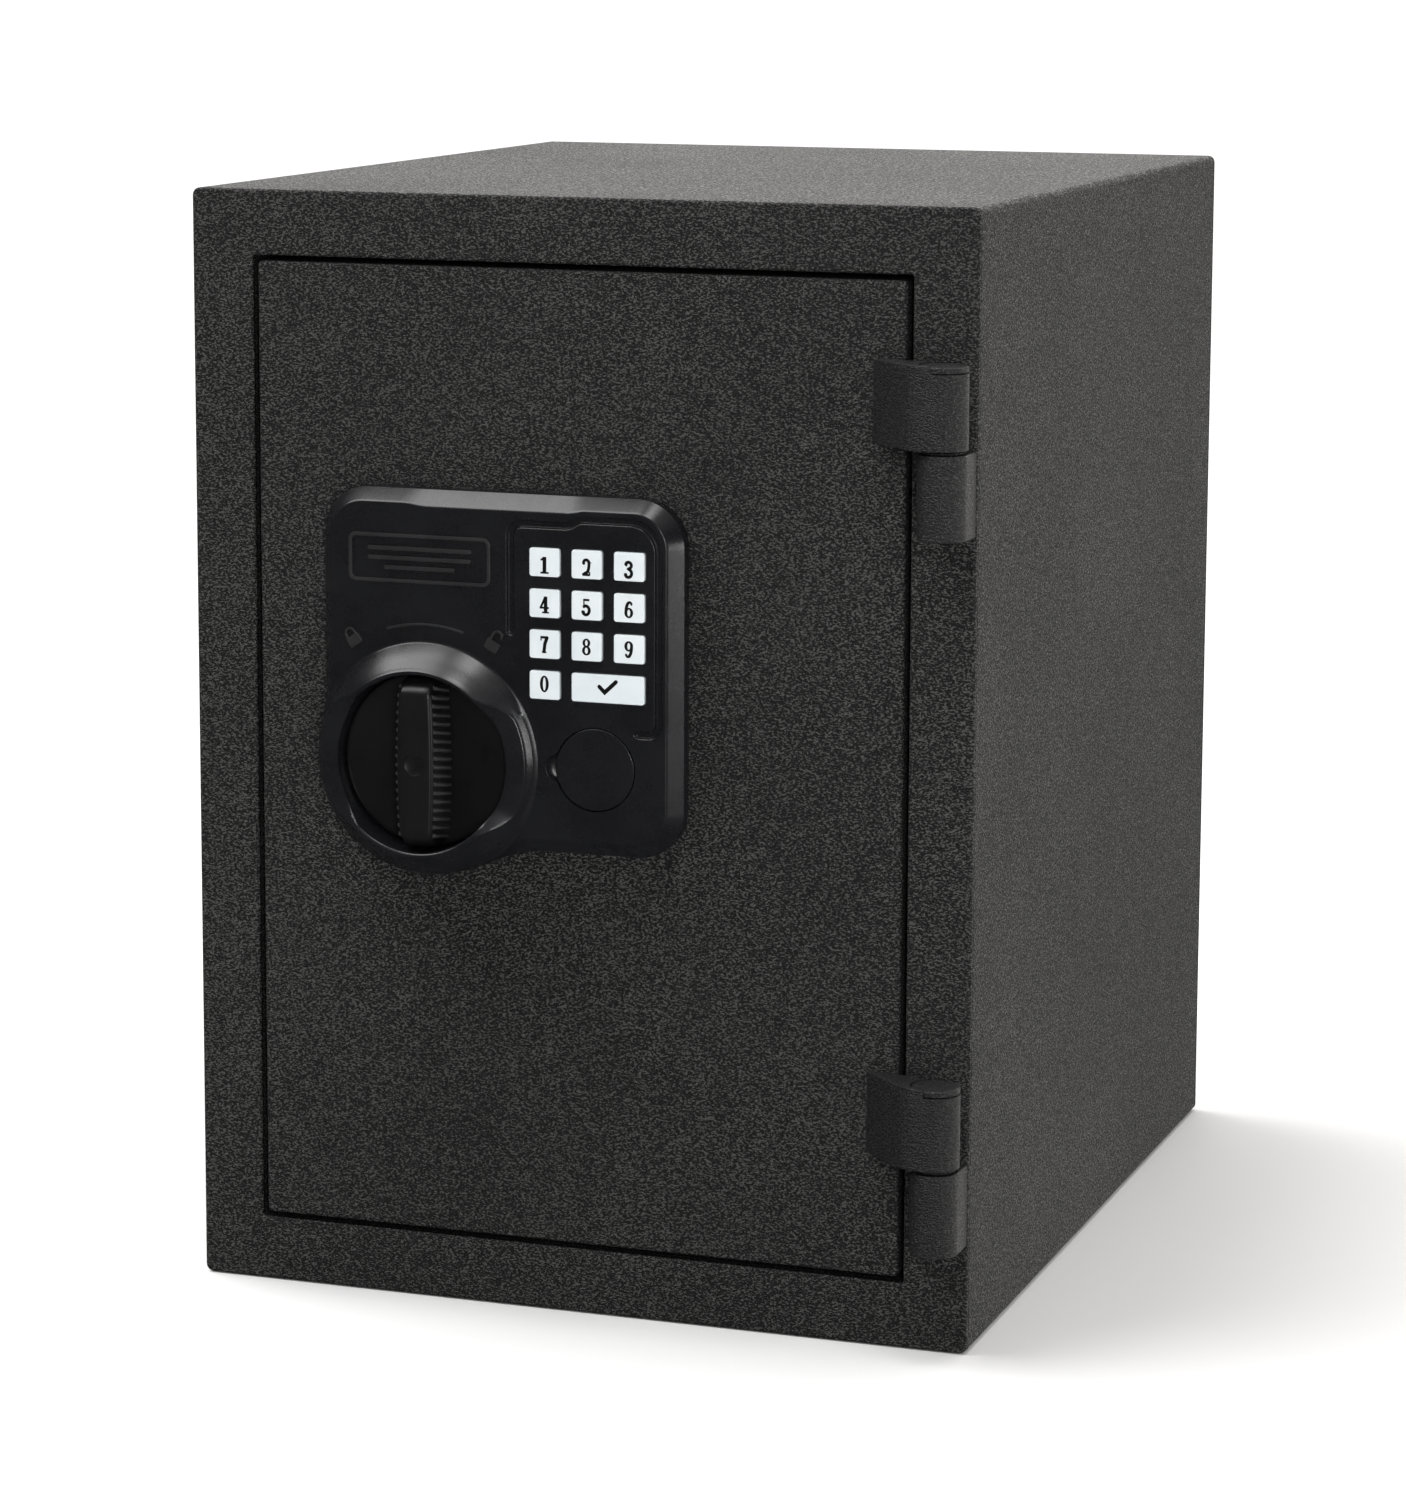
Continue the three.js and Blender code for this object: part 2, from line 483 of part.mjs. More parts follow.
// The plug of the key lock, with a keyway in its face and a tail at its back, round its own axis.
function buildKeyPlug() {
  const barrel = rodY(CYLINDER.plug, 0, [-CYLINDER.face, CYLINDER.back + 0.5], 0)
    .subtract(block([-0.8, 0.8], [-CYLINDER.face - 1, -CYLINDER.face + 5], [-4, 4]));
  const tail = block([-2, 2], [CYLINDER.back, CYLINDER.back + 2.5], [-2, 10.5]);
  return piece("key_plug", barrel.add(tail), "brass");
}

// The snap-in cover of the key lock, with a scooped nail notch at its left.
function buildPortCover() {
  const level = BEZEL.height + 0.1;
  const disc = rodY(PORT.radius - 0.3, 0, [-level, -level + 2.2], 0, 32)
    .subtract(rodY(4, -PORT.radius - 1, [-level - 1, -level + 1.4], 0, 16));
  return piece("keyhole_cover", disc, "bezel");
}

// The knob: a shallow round dish with an upright grip across it, round its own axis.
function buildKnob() {
  const { length, width, endWidth, height } = GRIP;
  const dish = rodY(DIAL.radius, 0, [-10.5, -4.5], 0, 48);
  const outline = new THREE.Shape();
  outline.moveTo(-endWidth / 2, -length / 2);
  outline.lineTo(endWidth / 2, -length / 2);
  outline.quadraticCurveTo(width - endWidth / 2, 0, endWidth / 2, length / 2);
  outline.lineTo(-endWidth / 2, length / 2);
  outline.quadraticCurveTo(endWidth / 2 - width, 0, -endWidth / 2, -length / 2);
  outline.closePath();
  const grip = slab(outline, [-height, -9], { bevel: 0.8, segments: 6 });
  const bore = rodY(SPINDLE.bore, 0, [-SPINDLE.front - 0.4, 0], 0);
  return piece("turn_knob", dish.add(grip).subtract(bore), "knob");
}

// The cam's slot is a spiral, so the bolts move by the same amount for each degree that the knob turns.
function buildCam() {
  const steps = 18;
  const growth = BOLT.travel / QUARTER;
  const wallAt = (turn, offset) => {
    const radius = CAM.inner + growth * turn;
    const slope = Math.atan2(growth, radius);
    const outward = turn - slope;
    return new THREE.Vector2(
      -radius * Math.cos(turn) - offset * Math.cos(outward),
      radius * Math.sin(turn) + offset * Math.sin(outward),
    );
  };
  const turns = Array.from({ length: steps + 1 }, (_, index) => (index / steps) * QUARTER);
  const slot = new THREE.Shape([
    ...turns.map((turn) => wallAt(turn, CAM.slot)),
    ...turns.toReversed().map((turn) => wallAt(turn, -CAM.slot)),
  ]);
  const y = [CAM.front - 1, CAM.back + 1];
  const ends = [0, QUARTER].map((turn) => {
    const middle = wallAt(turn, 0);
    return rodY(CAM.slot + 0.2, middle.x, y, middle.y, 16);
  });
  const disc = rodY(CAM.radius, 0, [CAM.front, CAM.back], 0, 48)
    .subtract(slab(slot, y))
    .subtract(ends[0])
    .subtract(ends[1])
    .subtract(rodY(SPINDLE.bore, 0, y, 0));
  return piece("cam_disc", disc, "steel");
}

function buildKnobBody() {
  const body = new THREE.Group();
  body.add(buildKnob());
  body.add(buildCam());
  const shaft = rodY(SPINDLE.radius, 0, [-SPINDLE.front, CAM.back + 1], 0);
  const end = rodY(SPINDLE.clip, 0, [CAM.back + FIT, CAM.back + 2], 0, 16);
  body.add(piece("knob_spindle", shaft.add(end), "steel"));
  return body;
}

// Two round bolts on a sliding carriage. A pin on the carriage runs in the cam's slot.
function buildBoltwork() {
  const boltwork = new THREE.Group();
  const { plate, thickness, flangeLeft, flangeFront, flangeBack, bar } = CARRIAGE;
  const plateY = [behind(plate), behind(plate + thickness)];
  const [low, high] = BOLT_HEIGHTS;
  const foot = PLUNGER.top + 0.4;
  const notch = PLUNGER.x - PLUNGER.radius;
  const ramp = PLUNGER.travel / BOLT.travel;
  const notchLength = BOLT.travel + 2 * PLUNGER.radius;

  const outline = new THREE.Shape();
  outline.moveTo(flangeLeft, foot);
  outline.lineTo(notch, foot);
  outline.lineTo(notch + notchLength, foot + ramp * notchLength);
  outline.lineTo(notch + notchLength + 1, foot);
  outline.lineTo(-52, foot);
  outline.lineTo(-52, foot + 14);
  outline.lineTo(bar, foot + 14);
  outline.lineTo(bar, DIAL.z - 14);
  outline.lineTo(-27, DIAL.z - 14);
  outline.lineTo(-27, DIAL.z + 14);
  outline.lineTo(bar, DIAL.z + 14);
  outline.lineTo(bar, high + 15);
  outline.lineTo(flangeLeft, high + 15);
  outline.closePath();
  const half = SPINDLE.radius + 0.7;
  const slotX = [DIAL.x - half, DIAL.x + BOLT.travel + half];
  const spindleSlot = roundedRectangle(slotX, [DIAL.z - half, DIAL.z + half], half - 0.1);
  const flange = block(
    [flangeLeft, flangeLeft + thickness],
    [behind(flangeFront), behind(flangeBack)],
    [low - 14.8, high + 15],
  );
  const pin = rodY(CAM.pin, DIAL.x - CAM.inner, [behind(plate + 1), behind(CAM.back + 1)], DIAL.z, 16);
  const carriage = slab(outline, plateY)
    .subtract(slab(spindleSlot, [behind(plate - 1), behind(plate + thickness + 1)], { segments: 4 }))
    .add(flange)
    .add(pin);
  boltwork.add(piece("bolt_carriage", carriage, "steel"));

  BOLT_HEIGHTS.forEach((z, index) => {
    const name = "locking_bolt_" + ["lower", "upper"][index];
    boltwork.add(piece(name, rodX(BOLT.radius, [BOLT.tip, BOLT.foot], behind(BOLT.depth), z, 32), "plated"));
  });
  return boltwork;
}

// What is fixed in the door behind the fire board: guides, fixed bolts, solenoid, boards and batteries.
function buildLockInside() {
  const inside = new THREE.Group();
  const baseY = [behind(INSULATION_BACK + FIT), behind(INSULATION_BACK + FIT + SHEET)];
  const [low, high] = BOLT_HEIGHTS;
  const left = -COVER.x + COVER_WALL + FIT;

  const flangeZ = [low - GUIDE.flange, high + GUIDE.flange];
  let guide = block([left, GUIDE.right], baseY, [GUIDE.foot, high + GUIDE.above]).add(
    block([left, left + SHEET], [baseY[0], behind(GUIDE.back)], flangeZ),
  );
  for (const z of BOLT_HEIGHTS) {
    guide = guide.subtract(rodX(BOLT.radius + 0.4, [left - 1, left + 5], behind(BOLT.depth), z));
  }
  guide = guide.subtract(rodY(SPINDLE.radius + 1, DIAL.x, [behind(20), behind(35)], DIAL.z));
  inside.add(piece("bolt_guide_plate", guide, "steel"));

  const wall = FIXED_BOLT.foot - FIT;
  const bracket = block([wall - SHEET, wall], [baseY[0], behind(GUIDE.back)], flangeZ).add(
    block([wall - SHEET, wall + BRACKET_REACH], baseY, flangeZ),
  );
  inside.add(piece("fixed_bolt_bracket", bracket, "steel"));
  BOLT_HEIGHTS.forEach((z, index) => {
    const bolt = rodX(FIXED_BOLT.radius, [FIXED_BOLT.foot, FIXED_BOLT.tip], behind(BOLT.depth), z, 32);
    inside.add(piece("fixed_bolt_" + ["lower", "upper"][index], bolt, "plated"));
  });

  const { x, radius, depth, top, length } = PLUNGER;
  const coil = block([x - COIL.half, x + COIL.half], [behind(COIL.front), behind(COIL.back)], COIL.z)
    .subtract(rodZ(radius + FIT, x, behind(depth), [top - length - 1, COIL.z[1] + 1], 20));
  inside.add(piece("solenoid", coil, "steel"));

  const boardFront = behind(INSULATION_BACK + CONTROL_BOARD.gap);
  const board = block(CONTROL_BOARD.x, [boardFront, boardFront + CONTROL_BOARD.thickness], CONTROL_BOARD.z);
  inside.add(piece("control_board", board, "board"));

  const { x0, x1, z0, z1, front, back, wall: boxWall } = BATTERY_BOX;
  const roomY = [behind(front + boxWall), behind(back + 1)];
  const box = block([x0, x1], [behind(front), behind(back)], [z0, z1])
    .subtract(block([x0 + boxWall, x1 - boxWall], roomY, [z0 + boxWall, z1 - boxWall]));
  inside.add(piece("battery_box", box, "liner"));
  const first = (z0 + z1) / 2 - (BATTERY.pitch * (BATTERY.count - 1)) / 2;
  for (let index = 0; index < BATTERY.count; index += 1) {
    const { radius: cell, length: long } = BATTERY;
    const middle = (x0 + x1) / 2;
    const shape = rodX(cell, [middle - long / 2, middle + long / 2], 0, 0, 20);
    const battery = piece("battery_" + (index + 1), shape, "battery");
    battery.position.set(0, behind(front + boxWall + FIT + cell), first + index * BATTERY.pitch);
    inside.add(battery);
  }
  return inside;
}

function buildBatteryCover() {
  const { x0, x1, z0, z1, back } = BATTERY_BOX;
  const outline = roundedRectangle([x0 - 0.7, x1 + 0.7], [z0 - 0.7, z1 + 0.7], 1);
  return piece("battery_cover", slab(outline, [behind(back + FIT), behind(COVER_BACK)]), "liner");
}

function buildSafe() {
  const safe = new THREE.Group();
  const cabinet = buildCabinet();
  const door = new THREE.Group();
  safe.add(cabinet, door, buildShelf());

  HINGE_FEET.forEach((z, index) => {
    const hinge = buildHinge(["lower", "upper"][index]);
    for (const [owner, meshes] of [[cabinet, hinge.fixed], [door, hinge.swinging]]) {
      const place = new THREE.Group();
      place.position.set(HINGE.x, proud(HINGE.proud), z);
      place.add(...meshes);
      owner.add(place);
    }
  });

  door.add(buildDoorPanels(), buildLockFront(), buildLockInside(), buildBoltwork(), buildBatteryCover());
  const knob = buildKnobBody();
  knob.position.set(DIAL.x, FRONT, DIAL.z);
  door.add(knob);
  for (const made of [buildKeyPlug(), buildPortCover()]) {
    made.position.set(PORT.x, FRONT, PORT.z);
    door.add(made);
  }
  const plunger = piece("solenoid_plunger", rodZ(PLUNGER.radius, 0, 0, [-PLUNGER.length, 0], 20), "plated");
  plunger.position.set(PLUNGER.x, behind(PLUNGER.depth), PLUNGER.top);
  door.add(plunger);
  for (const place of keyPlaces()) {
    const key = buildKey(place);
    key.position.set(place.x, FRONT, place.z);
    door.add(key);
  }
  return safe;
}

export default buildSafe();
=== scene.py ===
from math import acos, atan2, cos, degrees, radians, sin, sqrt

import bmesh
import bpy
from mathutils import Matrix, Vector
from mathutils.geometry import delaunay_2d_cdt


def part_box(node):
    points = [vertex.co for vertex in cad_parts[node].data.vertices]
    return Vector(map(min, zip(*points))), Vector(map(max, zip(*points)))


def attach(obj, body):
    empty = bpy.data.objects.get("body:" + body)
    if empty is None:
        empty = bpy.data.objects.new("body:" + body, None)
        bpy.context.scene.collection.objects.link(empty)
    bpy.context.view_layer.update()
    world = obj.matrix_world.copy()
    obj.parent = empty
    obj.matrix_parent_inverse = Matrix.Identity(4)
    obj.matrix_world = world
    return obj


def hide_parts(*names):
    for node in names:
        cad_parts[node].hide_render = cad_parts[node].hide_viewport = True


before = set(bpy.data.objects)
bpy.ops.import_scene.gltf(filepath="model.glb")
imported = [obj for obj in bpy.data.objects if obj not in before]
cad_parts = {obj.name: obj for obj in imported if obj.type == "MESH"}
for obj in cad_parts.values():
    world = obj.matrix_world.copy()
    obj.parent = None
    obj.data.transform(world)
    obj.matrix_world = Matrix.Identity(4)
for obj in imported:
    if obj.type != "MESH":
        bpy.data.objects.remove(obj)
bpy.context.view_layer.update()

# A compact fire-resistant safe with a keypad lock. Shapes are worked out in millimetres, in the frame's
# axes: X to the hinge side, Y to the back and Z up. Heights on the lock are measured out from the door.
MM = 0.001


def box_of(node):
    """The lowest and highest corner of a CAD node, in millimetres."""
    low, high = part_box(node)
    return low / MM, high / MM


def middle_of(node):
    low, high = box_of(node)
    return (low + high) / 2


def size_of(node):
    low, high = box_of(node)
    return high - low


BODY_LOW, _ = box_of("front_frame")
_, BODY_HIGH = box_of("back_panel")
FRONT = BODY_LOW.y
DOOR_LOW, DOOR_HIGH = box_of("door_panel")
COVER_LOW, COVER_HIGH = box_of("door_inner_cover")
BEZEL_LOW, BEZEL_HIGH = box_of("lock_bezel")
DIAL = middle_of("turn_knob")
DISH_RADIUS = size_of("turn_knob").x / 2
PORT = middle_of("keyhole_cover")
COVER_RADIUS = size_of("keyhole_cover").x / 2
KEYS = ["key_" + mark for mark in "1234567890"] + ["key_enter"]

BORDER = 26.0  # width of the frame round the door
OPENING_X = BODY_HIGH.x - BORDER
OPENING_Z = (BODY_LOW.z + BORDER, BODY_HIGH.z - BORDER)
SHEET = 2.0
FACE = 12.0  # height of the bezel's face over the door
COLLAR_RADIUS = DIAL.x - BEZEL_LOW.x


# ---- shapes

def within(place, edges):
    """Whether a place is inside the loops that the edges make, counting a loop in a loop as a hole."""
    crossings = 0
    for a, b in edges:
        if (a.y > place.y) != (b.y > place.y):
            crossings += place.x < a.x + (b.x - a.x) * (place.y - a.y) / (b.y - a.y)
    return crossings % 2 == 1


def in_front(x, z, y):
    """A place on an upright plane that faces the front."""
    return Vector((x, y, z))


def lying(x, y, z):
    """A place on a level plane."""
    return Vector((x, y, z))


class Shape:
    """Points and faces of a closed mesh, in millimetres."""

    def __init__(self):
        self.points = []
        self.faces = []

    def ring(self, points):
        first = len(self.points)
        self.points.extend(Vector(point) for point in points)
        return list(range(first, len(self.points)))

    def join(self, a, b):
        for k in range(len(a)):
            after = (k + 1) % len(a)
            self.faces.append((a[k], a[after], b[after], b[k]))

    def stack(self, rings, closed=False):
        made = [self.ring(points) for points in rings]
        for a, b in zip(made, made[1:]):
            self.join(a, b)
        if closed:
            self.join(made[-1], made[0])
        return made

    def add(self, other):
        first = len(self.points)
        self.points.extend(other.points)
        self.faces.extend([[first + index for index in corners] for corners in other.faces])

    def fill(self, rings, flats):
        """A flat face inside the first ring and outside the others. flats are the rings in the flat."""
        indices = [index for ring in rings for index in ring]
        places = [Vector(place) for flat in flats for place in flat]
        edges = []
        start = 0
        for ring in rings:
            count = len(ring)
            edges += [(start + k, start + (k + 1) % count) for k in range(count)]
            start += count
        found, _, triangles, origins, _, _ = delaunay_2d_cdt(places, edges, [], 0, 1e-6)
        for corners in triangles:
            centre = sum((found[corner] for corner in corners), Vector((0, 0))) / 3
            if within(centre, [[places[k] for k in edge] for edge in edges]):
                self.faces.append([indices[origins[corner][0]] for corner in corners])

    def layers(self, outline, profile, place=in_front, holes=()):
        """Rings of an outline at each (inset, depth) of a profile, closed at both ends with flat faces."""
        near, far = [], []
        for loop in [outline] + [lambda inset, hole=hole: hole(-inset) for hole in holes]:
            flats = [loop(inset) for inset, _ in profile]
            levels = [depth for _, depth in profile]
            rings = self.stack([[place(u, v, level) for u, v in flat] for flat, level in zip(flats, levels)])
            near.append((rings[0], flats[0]))
            far.append((rings[-1], flats[-1]))
        for end in (near, far):
            self.fill([ring for ring, _ in end], [flat for _, flat in end])
        return self

    def slab(self, outline, near, far, soft=0.5, soft_far=0.0, place=in_front, holes=(), steps=3):
        """A plate between two depths, with rounded edges at its near side and its far side."""
        toward = 1 if far > near else -1
        profile = [(inset, near + toward * back) for inset, back in reversed(soft_edge(soft, steps))]
        profile += [(inset, far - toward * back) for inset, back in soft_edge(soft_far, steps)]
        return self.layers(outline, profile, place, holes)

    def box(self, low, high, soft=0.0):
        outline = rounded(low[0], high[0], low[2], high[2], 0.05 + soft, 2)
        return self.slab(outline, low[1], high[1], soft, soft)

    def lathe(self, profile, place, steps=48):
        """A profile of (radius, level) turned round an axis. place gives the point at (u, v, level)."""
        rings = []
        for radius, level in profile:
            rings.append([place(u, v, level) for u, v in arc(0, 0, max(radius, 0.01), 0, 360, steps)[:-1]])
        made = self.stack(rings)
        for ring in (made[0], made[-1]):
            self.faces.append(ring)
        return self


def about_x(centre):
    """Places at (u, v, level), where level runs along X and u and v are measured from the centre."""
    return lambda u, v, level: Vector((level, centre.y + u, centre.z + v))


def about_y(centre):
    return lambda u, v, level: Vector((centre.x + u, level, centre.z + v))


def about_z(centre):
    return lambda u, v, level: Vector((centre.x + u, centre.y + v, level))


def on_dial(u, v, out):
    """A place measured from the dial's centre and out from the door's front."""
    return Vector((DIAL.x + u, FRONT - out, DIAL.z + v))


def bowl(x, z, rx, rz, start, end, steps=14):
    """Points on a part of an ellipse, with its angles in degrees, its last point included."""
    angles = [radians(start + (end - start) * k / steps) for k in range(steps + 1)]
    return [(x + rx * cos(a), z + rz * sin(a)) for a in angles]


def arc(x, z, radius, start, end, steps):
    return bowl(x, z, radius, radius, start, end, steps)


def rounded(x0, x1, z0, z1, radius, steps=6):
    """An outline function: a rectangle with round corners, drawn in by an inset."""
    def outline(inset):
        r = max(radius - inset, 0.05)
        left, right = x0 + inset + r, x1 - inset - r
        low, high = z0 + inset + r, z1 - inset - r
        corners = [(right, low, -90), (right, high, 0), (left, high, 90), (left, low, 180)]
        return [place for x, z, start in corners for place in arc(x, z, r, start, start + 90, steps)]
    return outline


def rounded_box(low, high, radius, steps, grow=0.0):
    """The rounded outline of a box seen from the front, grown on every side."""
    return rounded(low.x - grow, high.x + grow, low.z - grow, high.z + grow, radius, steps)


def loops(outline, *levels):
    """The points of an outline at each (inset, depth), on upright planes."""
    return [[in_front(x, z, y) for x, z in outline(inset)] for inset, y in levels]


def circle(x, z, radius, steps=64):
    def outline(inset):
        return arc(x, z, radius - inset, 0, 360, steps)[:-1]
    return outline


def drawn(points):
    """An outline function for any loop of points that runs anticlockwise."""
    def outline(inset):
        made = []
        count = len(points)
        for k in range(count):
            here = Vector(points[k])
            before = (here - Vector(points[k - 1])).normalized()
            after = (Vector(points[(k + 1) % count]) - here).normalized()
            a, b = Vector((-before.y, before.x)), Vector((-after.y, after.x))
            made.append(here + (a + b) * inset / max(1 + a.dot(b), 0.4))
        return made
    return outline


def soft_edge(radius, steps=3):
    """Steps of a rounded edge, as (inset, distance back from the face)."""
    if radius == 0:
        return [(0, 0)]
    turns = [radians(90 * k / steps) for k in range(steps + 1)]
    return [(radius * (1 - cos(a)), radius * (1 - sin(a))) for a in turns]


def tube(profile, place, steps=48):
    """A closed profile of (radius, level) turned round an axis, open along the axis."""
    shape = Shape()
    rings = [[place(u, v, level) for u, v in circle(0, 0, radius, steps)(0)] for radius, level in profile]
    shape.stack(rings, closed=True)
    return shape


def ribbon(path, width, steps=5):
    """The outline of a stroke of even width along a path, with round ends, running anticlockwise."""
    points = [Vector(place) for place in path]
    half = width / 2
    right, left = [], []
    for k, here in enumerate(points):
        before = (here - points[k - 1]).normalized() if k else (points[1] - here).normalized()
        after = (points[k + 1] - here).normalized() if k + 1 < len(points) else before
        along = (before + after).normalized()
        side = Vector((along.y, -along.x)) * half / max(along.dot(after), 0.5)
        right.append(here + side)
        left.append(here - side)
    start = degrees(atan2(points[1].y - points[0].y, points[1].x - points[0].x))
    end = degrees(atan2(points[-1].y - points[-2].y, points[-1].x - points[-2].x))
    tail = arc(points[0].x, points[0].y, half, start + 90, start + 270, steps)
    head = arc(points[-1].x, points[-1].y, half, end - 90, end + 90, steps)
    return [tuple(p) for p in right[1:-1]] + head + [tuple(p) for p in reversed(left[1:-1])] + tail


def mesh_of(name, shape, merge=False):
    """A mesh of a shape, with its faces turned outward."""
    mesh = bpy.data.meshes.new(name)
    mesh.from_pydata([point * MM for point in shape.points], [], shape.faces)
    work = bmesh.new()
    work.from_mesh(mesh)
    if merge:
        bmesh.ops.remove_doubles(work, verts=work.verts, dist=1e-7)
    bmesh.ops.recalc_face_normals(work, faces=work.faces)
    work.to_mesh(mesh)
    work.free()
    return mesh


def add_object(name, data):
    thing = bpy.data.objects.new(name, data)
    bpy.context.scene.collection.objects.link(thing)
    return thing


def make(name, shape, material, body, stands_for=(), angle=35):
    """A piece of the visible model, from a shape."""
    mesh = mesh_of(name, shape)
    mesh.shade_smooth()
    mesh.set_sharp_from_angle(angle=radians(angle))
    mesh.materials.append(material)
    piece = add_object(name, mesh)
    normals = piece.modifiers.new("even_normals", "WEIGHTED_NORMAL")
    normals.keep_sharp = True
    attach(piece, body)
    if stands_for:
        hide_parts(*stands_for)
    return piece


def carve(shape, cutter):
    """The shape with the cutter's room taken out of it."""
    whole, knife = [add_object("carving", mesh_of("carving", source, True)) for source in (shape, cutter)]
    modifier = whole.modifiers.new("cut", "BOOLEAN")
    modifier.object = knife
    modifier.operation = "DIFFERENCE"
    modifier.solver = "EXACT"
    evaluated = whole.evaluated_get(bpy.context.evaluated_depsgraph_get())
    result = evaluated.to_mesh()
    made = Shape()
    made.points = [vertex.co / MM for vertex in result.vertices]
    made.faces = [list(polygon.vertices) for polygon in result.polygons]
    evaluated.to_mesh_clear()
    for thing in (whole, knife):
        mesh = thing.data
        bpy.data.objects.remove(thing)
        bpy.data.meshes.remove(mesh)
    return made


# ---- materials

def wire(node, values, sockets):
    """Set values on a node's inputs and link sockets to them; gives its outputs."""
    for key, value in values.items():
        node.inputs[key].default_value = value
    for key, socket in sockets.items():
        node.id_data.links.new(socket, node.inputs[key])
    return node.outputs


def added(nodes, values):
    """The sum of some sockets."""
    result = values[0]
    for value in values[1:]:
        result = wire(nodes.new("ShaderNodeMath"), {}, {0: result, 1: value})["Value"]
    return result


class Paint:
    """A material and the nodes that are added to it."""

    def __init__(self, name, roughness, metallic=0.0, coat=0.0, specular=0.5):
        self.material = bpy.data.materials.new(name)
        self.material.use_nodes = True
        self.nodes = self.material.node_tree.nodes
        self.shader = self.nodes["Principled BSDF"]
        self.place = self.nodes.new("ShaderNodeTexCoord").outputs["Object"]
        wire(self.shader, {"Roughness": roughness, "Metallic": metallic, "Coat Weight": coat,
                           "Specular IOR Level": specular}, {})

    def scaled(self, scale, turn=(0, 0, 0)):
        values = {"Scale": scale, "Rotation": [radians(angle) for angle in turn]}
        return wire(self.nodes.new("ShaderNodeMapping"), values, {"Vector": self.place})["Vector"]

    def noise(self, scale, detail=2.0, place=None, rough=0.5, output="Fac"):
        values = {"Scale": scale, "Detail": detail, "Roughness": rough}
        node = self.nodes.new("ShaderNodeTexNoise")
        return wire(node, values, {"Vector": place or self.place})[output]

    def cells(self, scale, place=None, feature="F1"):
        node = self.nodes.new("ShaderNodeTexVoronoi")
        node.feature = feature
        return wire(node, {"Scale": scale}, {"Vector": place or self.place})["Distance"]

    def warped(self, scale, amount, place=None):
        """The place, shifted a little by a noise."""
        place = place or self.place
        noise = self.noise(scale, place=place, output="Color")
        shift = self.nodes.new("ShaderNodeVectorMath")
        shift.operation = "MULTIPLY_ADD"
        return wire(shift, {1: (amount, amount, amount)}, {0: noise, 2: place})["Vector"]

    def ramp(self, value, low, high, start=0.0, end=1.0):
        values = {"From Min": low, "From Max": high, "To Min": start, "To Max": end}
        return wire(self.nodes.new("ShaderNodeMapRange"), values, {"Value": value})["Result"]

    def spread(self, noise, start=0.0, end=1.0):
        """A noise stretched so that nearly all of it lies between start and end."""
        return self.ramp(noise, 0.3, 0.7, start, end)

    def total(self, *values):
        return added(self.nodes, values)

    def colour(self, value, first, second):
        """The surface's colour, from first where the value is 0 to second where it is 1."""
        node = self.nodes.new("ShaderNodeMix")
        node.data_type = "RGBA"
        mixed = wire(node, {"A": (*first, 1), "B": (*second, 1)}, {"Factor": value})["Result"]
        wire(self.shader, {}, {"Base Color": mixed})

    def roughness(self, socket):
        wire(self.shader, {}, {"Roughness": socket})

    def bump(self, height, depth):
        """Relief of a real depth in millimetres where the height runs from 0 to 1. Gives the material."""
        node = self.nodes.new("ShaderNodeBump")
        wire(self.shader, {}, {"Normal": wire(node, {"Distance": depth * MM}, {"Height": height})["Normal"]})
        return self.material


def textured_paint(name, dark, light, grain, depth, cover=0.5, sheen=0.45):
    """Wrinkled black powder coat: small slanting worms over a share of the surface, their crowns painted
    lighter as a painted highlight of the grain.
    """
    paint = Paint(name, 0.55)
    slanted = paint.scaled((1.0, 1.0, 1.7), (0, 32, 0))
    worms = paint.noise(grain, 2.0, paint.warped(grain * 0.7, 0.5 / grain, slanted), 0.6)
    fine = paint.noise(grain * 2.3, 2.0)
    patches = paint.noise(9.0, 3.0)
    height = paint.total(paint.ramp(worms, 0.36, 0.64), paint.spread(fine, -0.22, 0.22),
                         paint.spread(patches, -0.05, 0.05))
    # Colour runs from the dark paint in the hollows to the light colour on the crowns: a painted highlight on
    # the grain, not a change in the paint.
    paint.colour(paint.ramp(height, cover - 0.08, cover + 0.30), dark, light)
    paint.roughness(paint.ramp(height, cover - 0.3, cover + 0.3, sheen + 0.35, sheen))
    return paint.bump(height, depth)


def satin_plastic(name, base, rough, grain=0.02):
    """Moulded plastic with a fine spark-eroded grain and a little handling wear."""
    paint = Paint(name, rough)
    fine = paint.noise(3200.0, 2.0)
    smears = paint.noise(45.0, 4.0, rough=0.6)
    lighter = [channel * 1.35 + 0.001 for channel in base]
    paint.colour(paint.ramp(smears, 0.35, 0.7), base, lighter)
    paint.roughness(paint.total(paint.spread(smears, rough - 0.04, rough + 0.05),
                                paint.spread(fine, -0.02, 0.02)))
    return paint.bump(fine, grain)


def key_plastic():
    paint = Paint("key_plastic", 0.42)
    fine = paint.noise(2600.0, 2.0)
    shade = paint.noise(60.0, 3.0)
    paint.colour(paint.spread(shade), (0.70, 0.76, 0.79), (0.78, 0.83, 0.85))
    paint.roughness(paint.spread(shade, 0.36, 0.48))
    return paint.bump(fine, 0.015)


def ink():
    paint = Paint("digit_ink", 0.6, specular=0.2)
    paint.colour(paint.noise(900.0), (0.002, 0.002, 0.0022), (0.005, 0.005, 0.0055))
    return paint.material


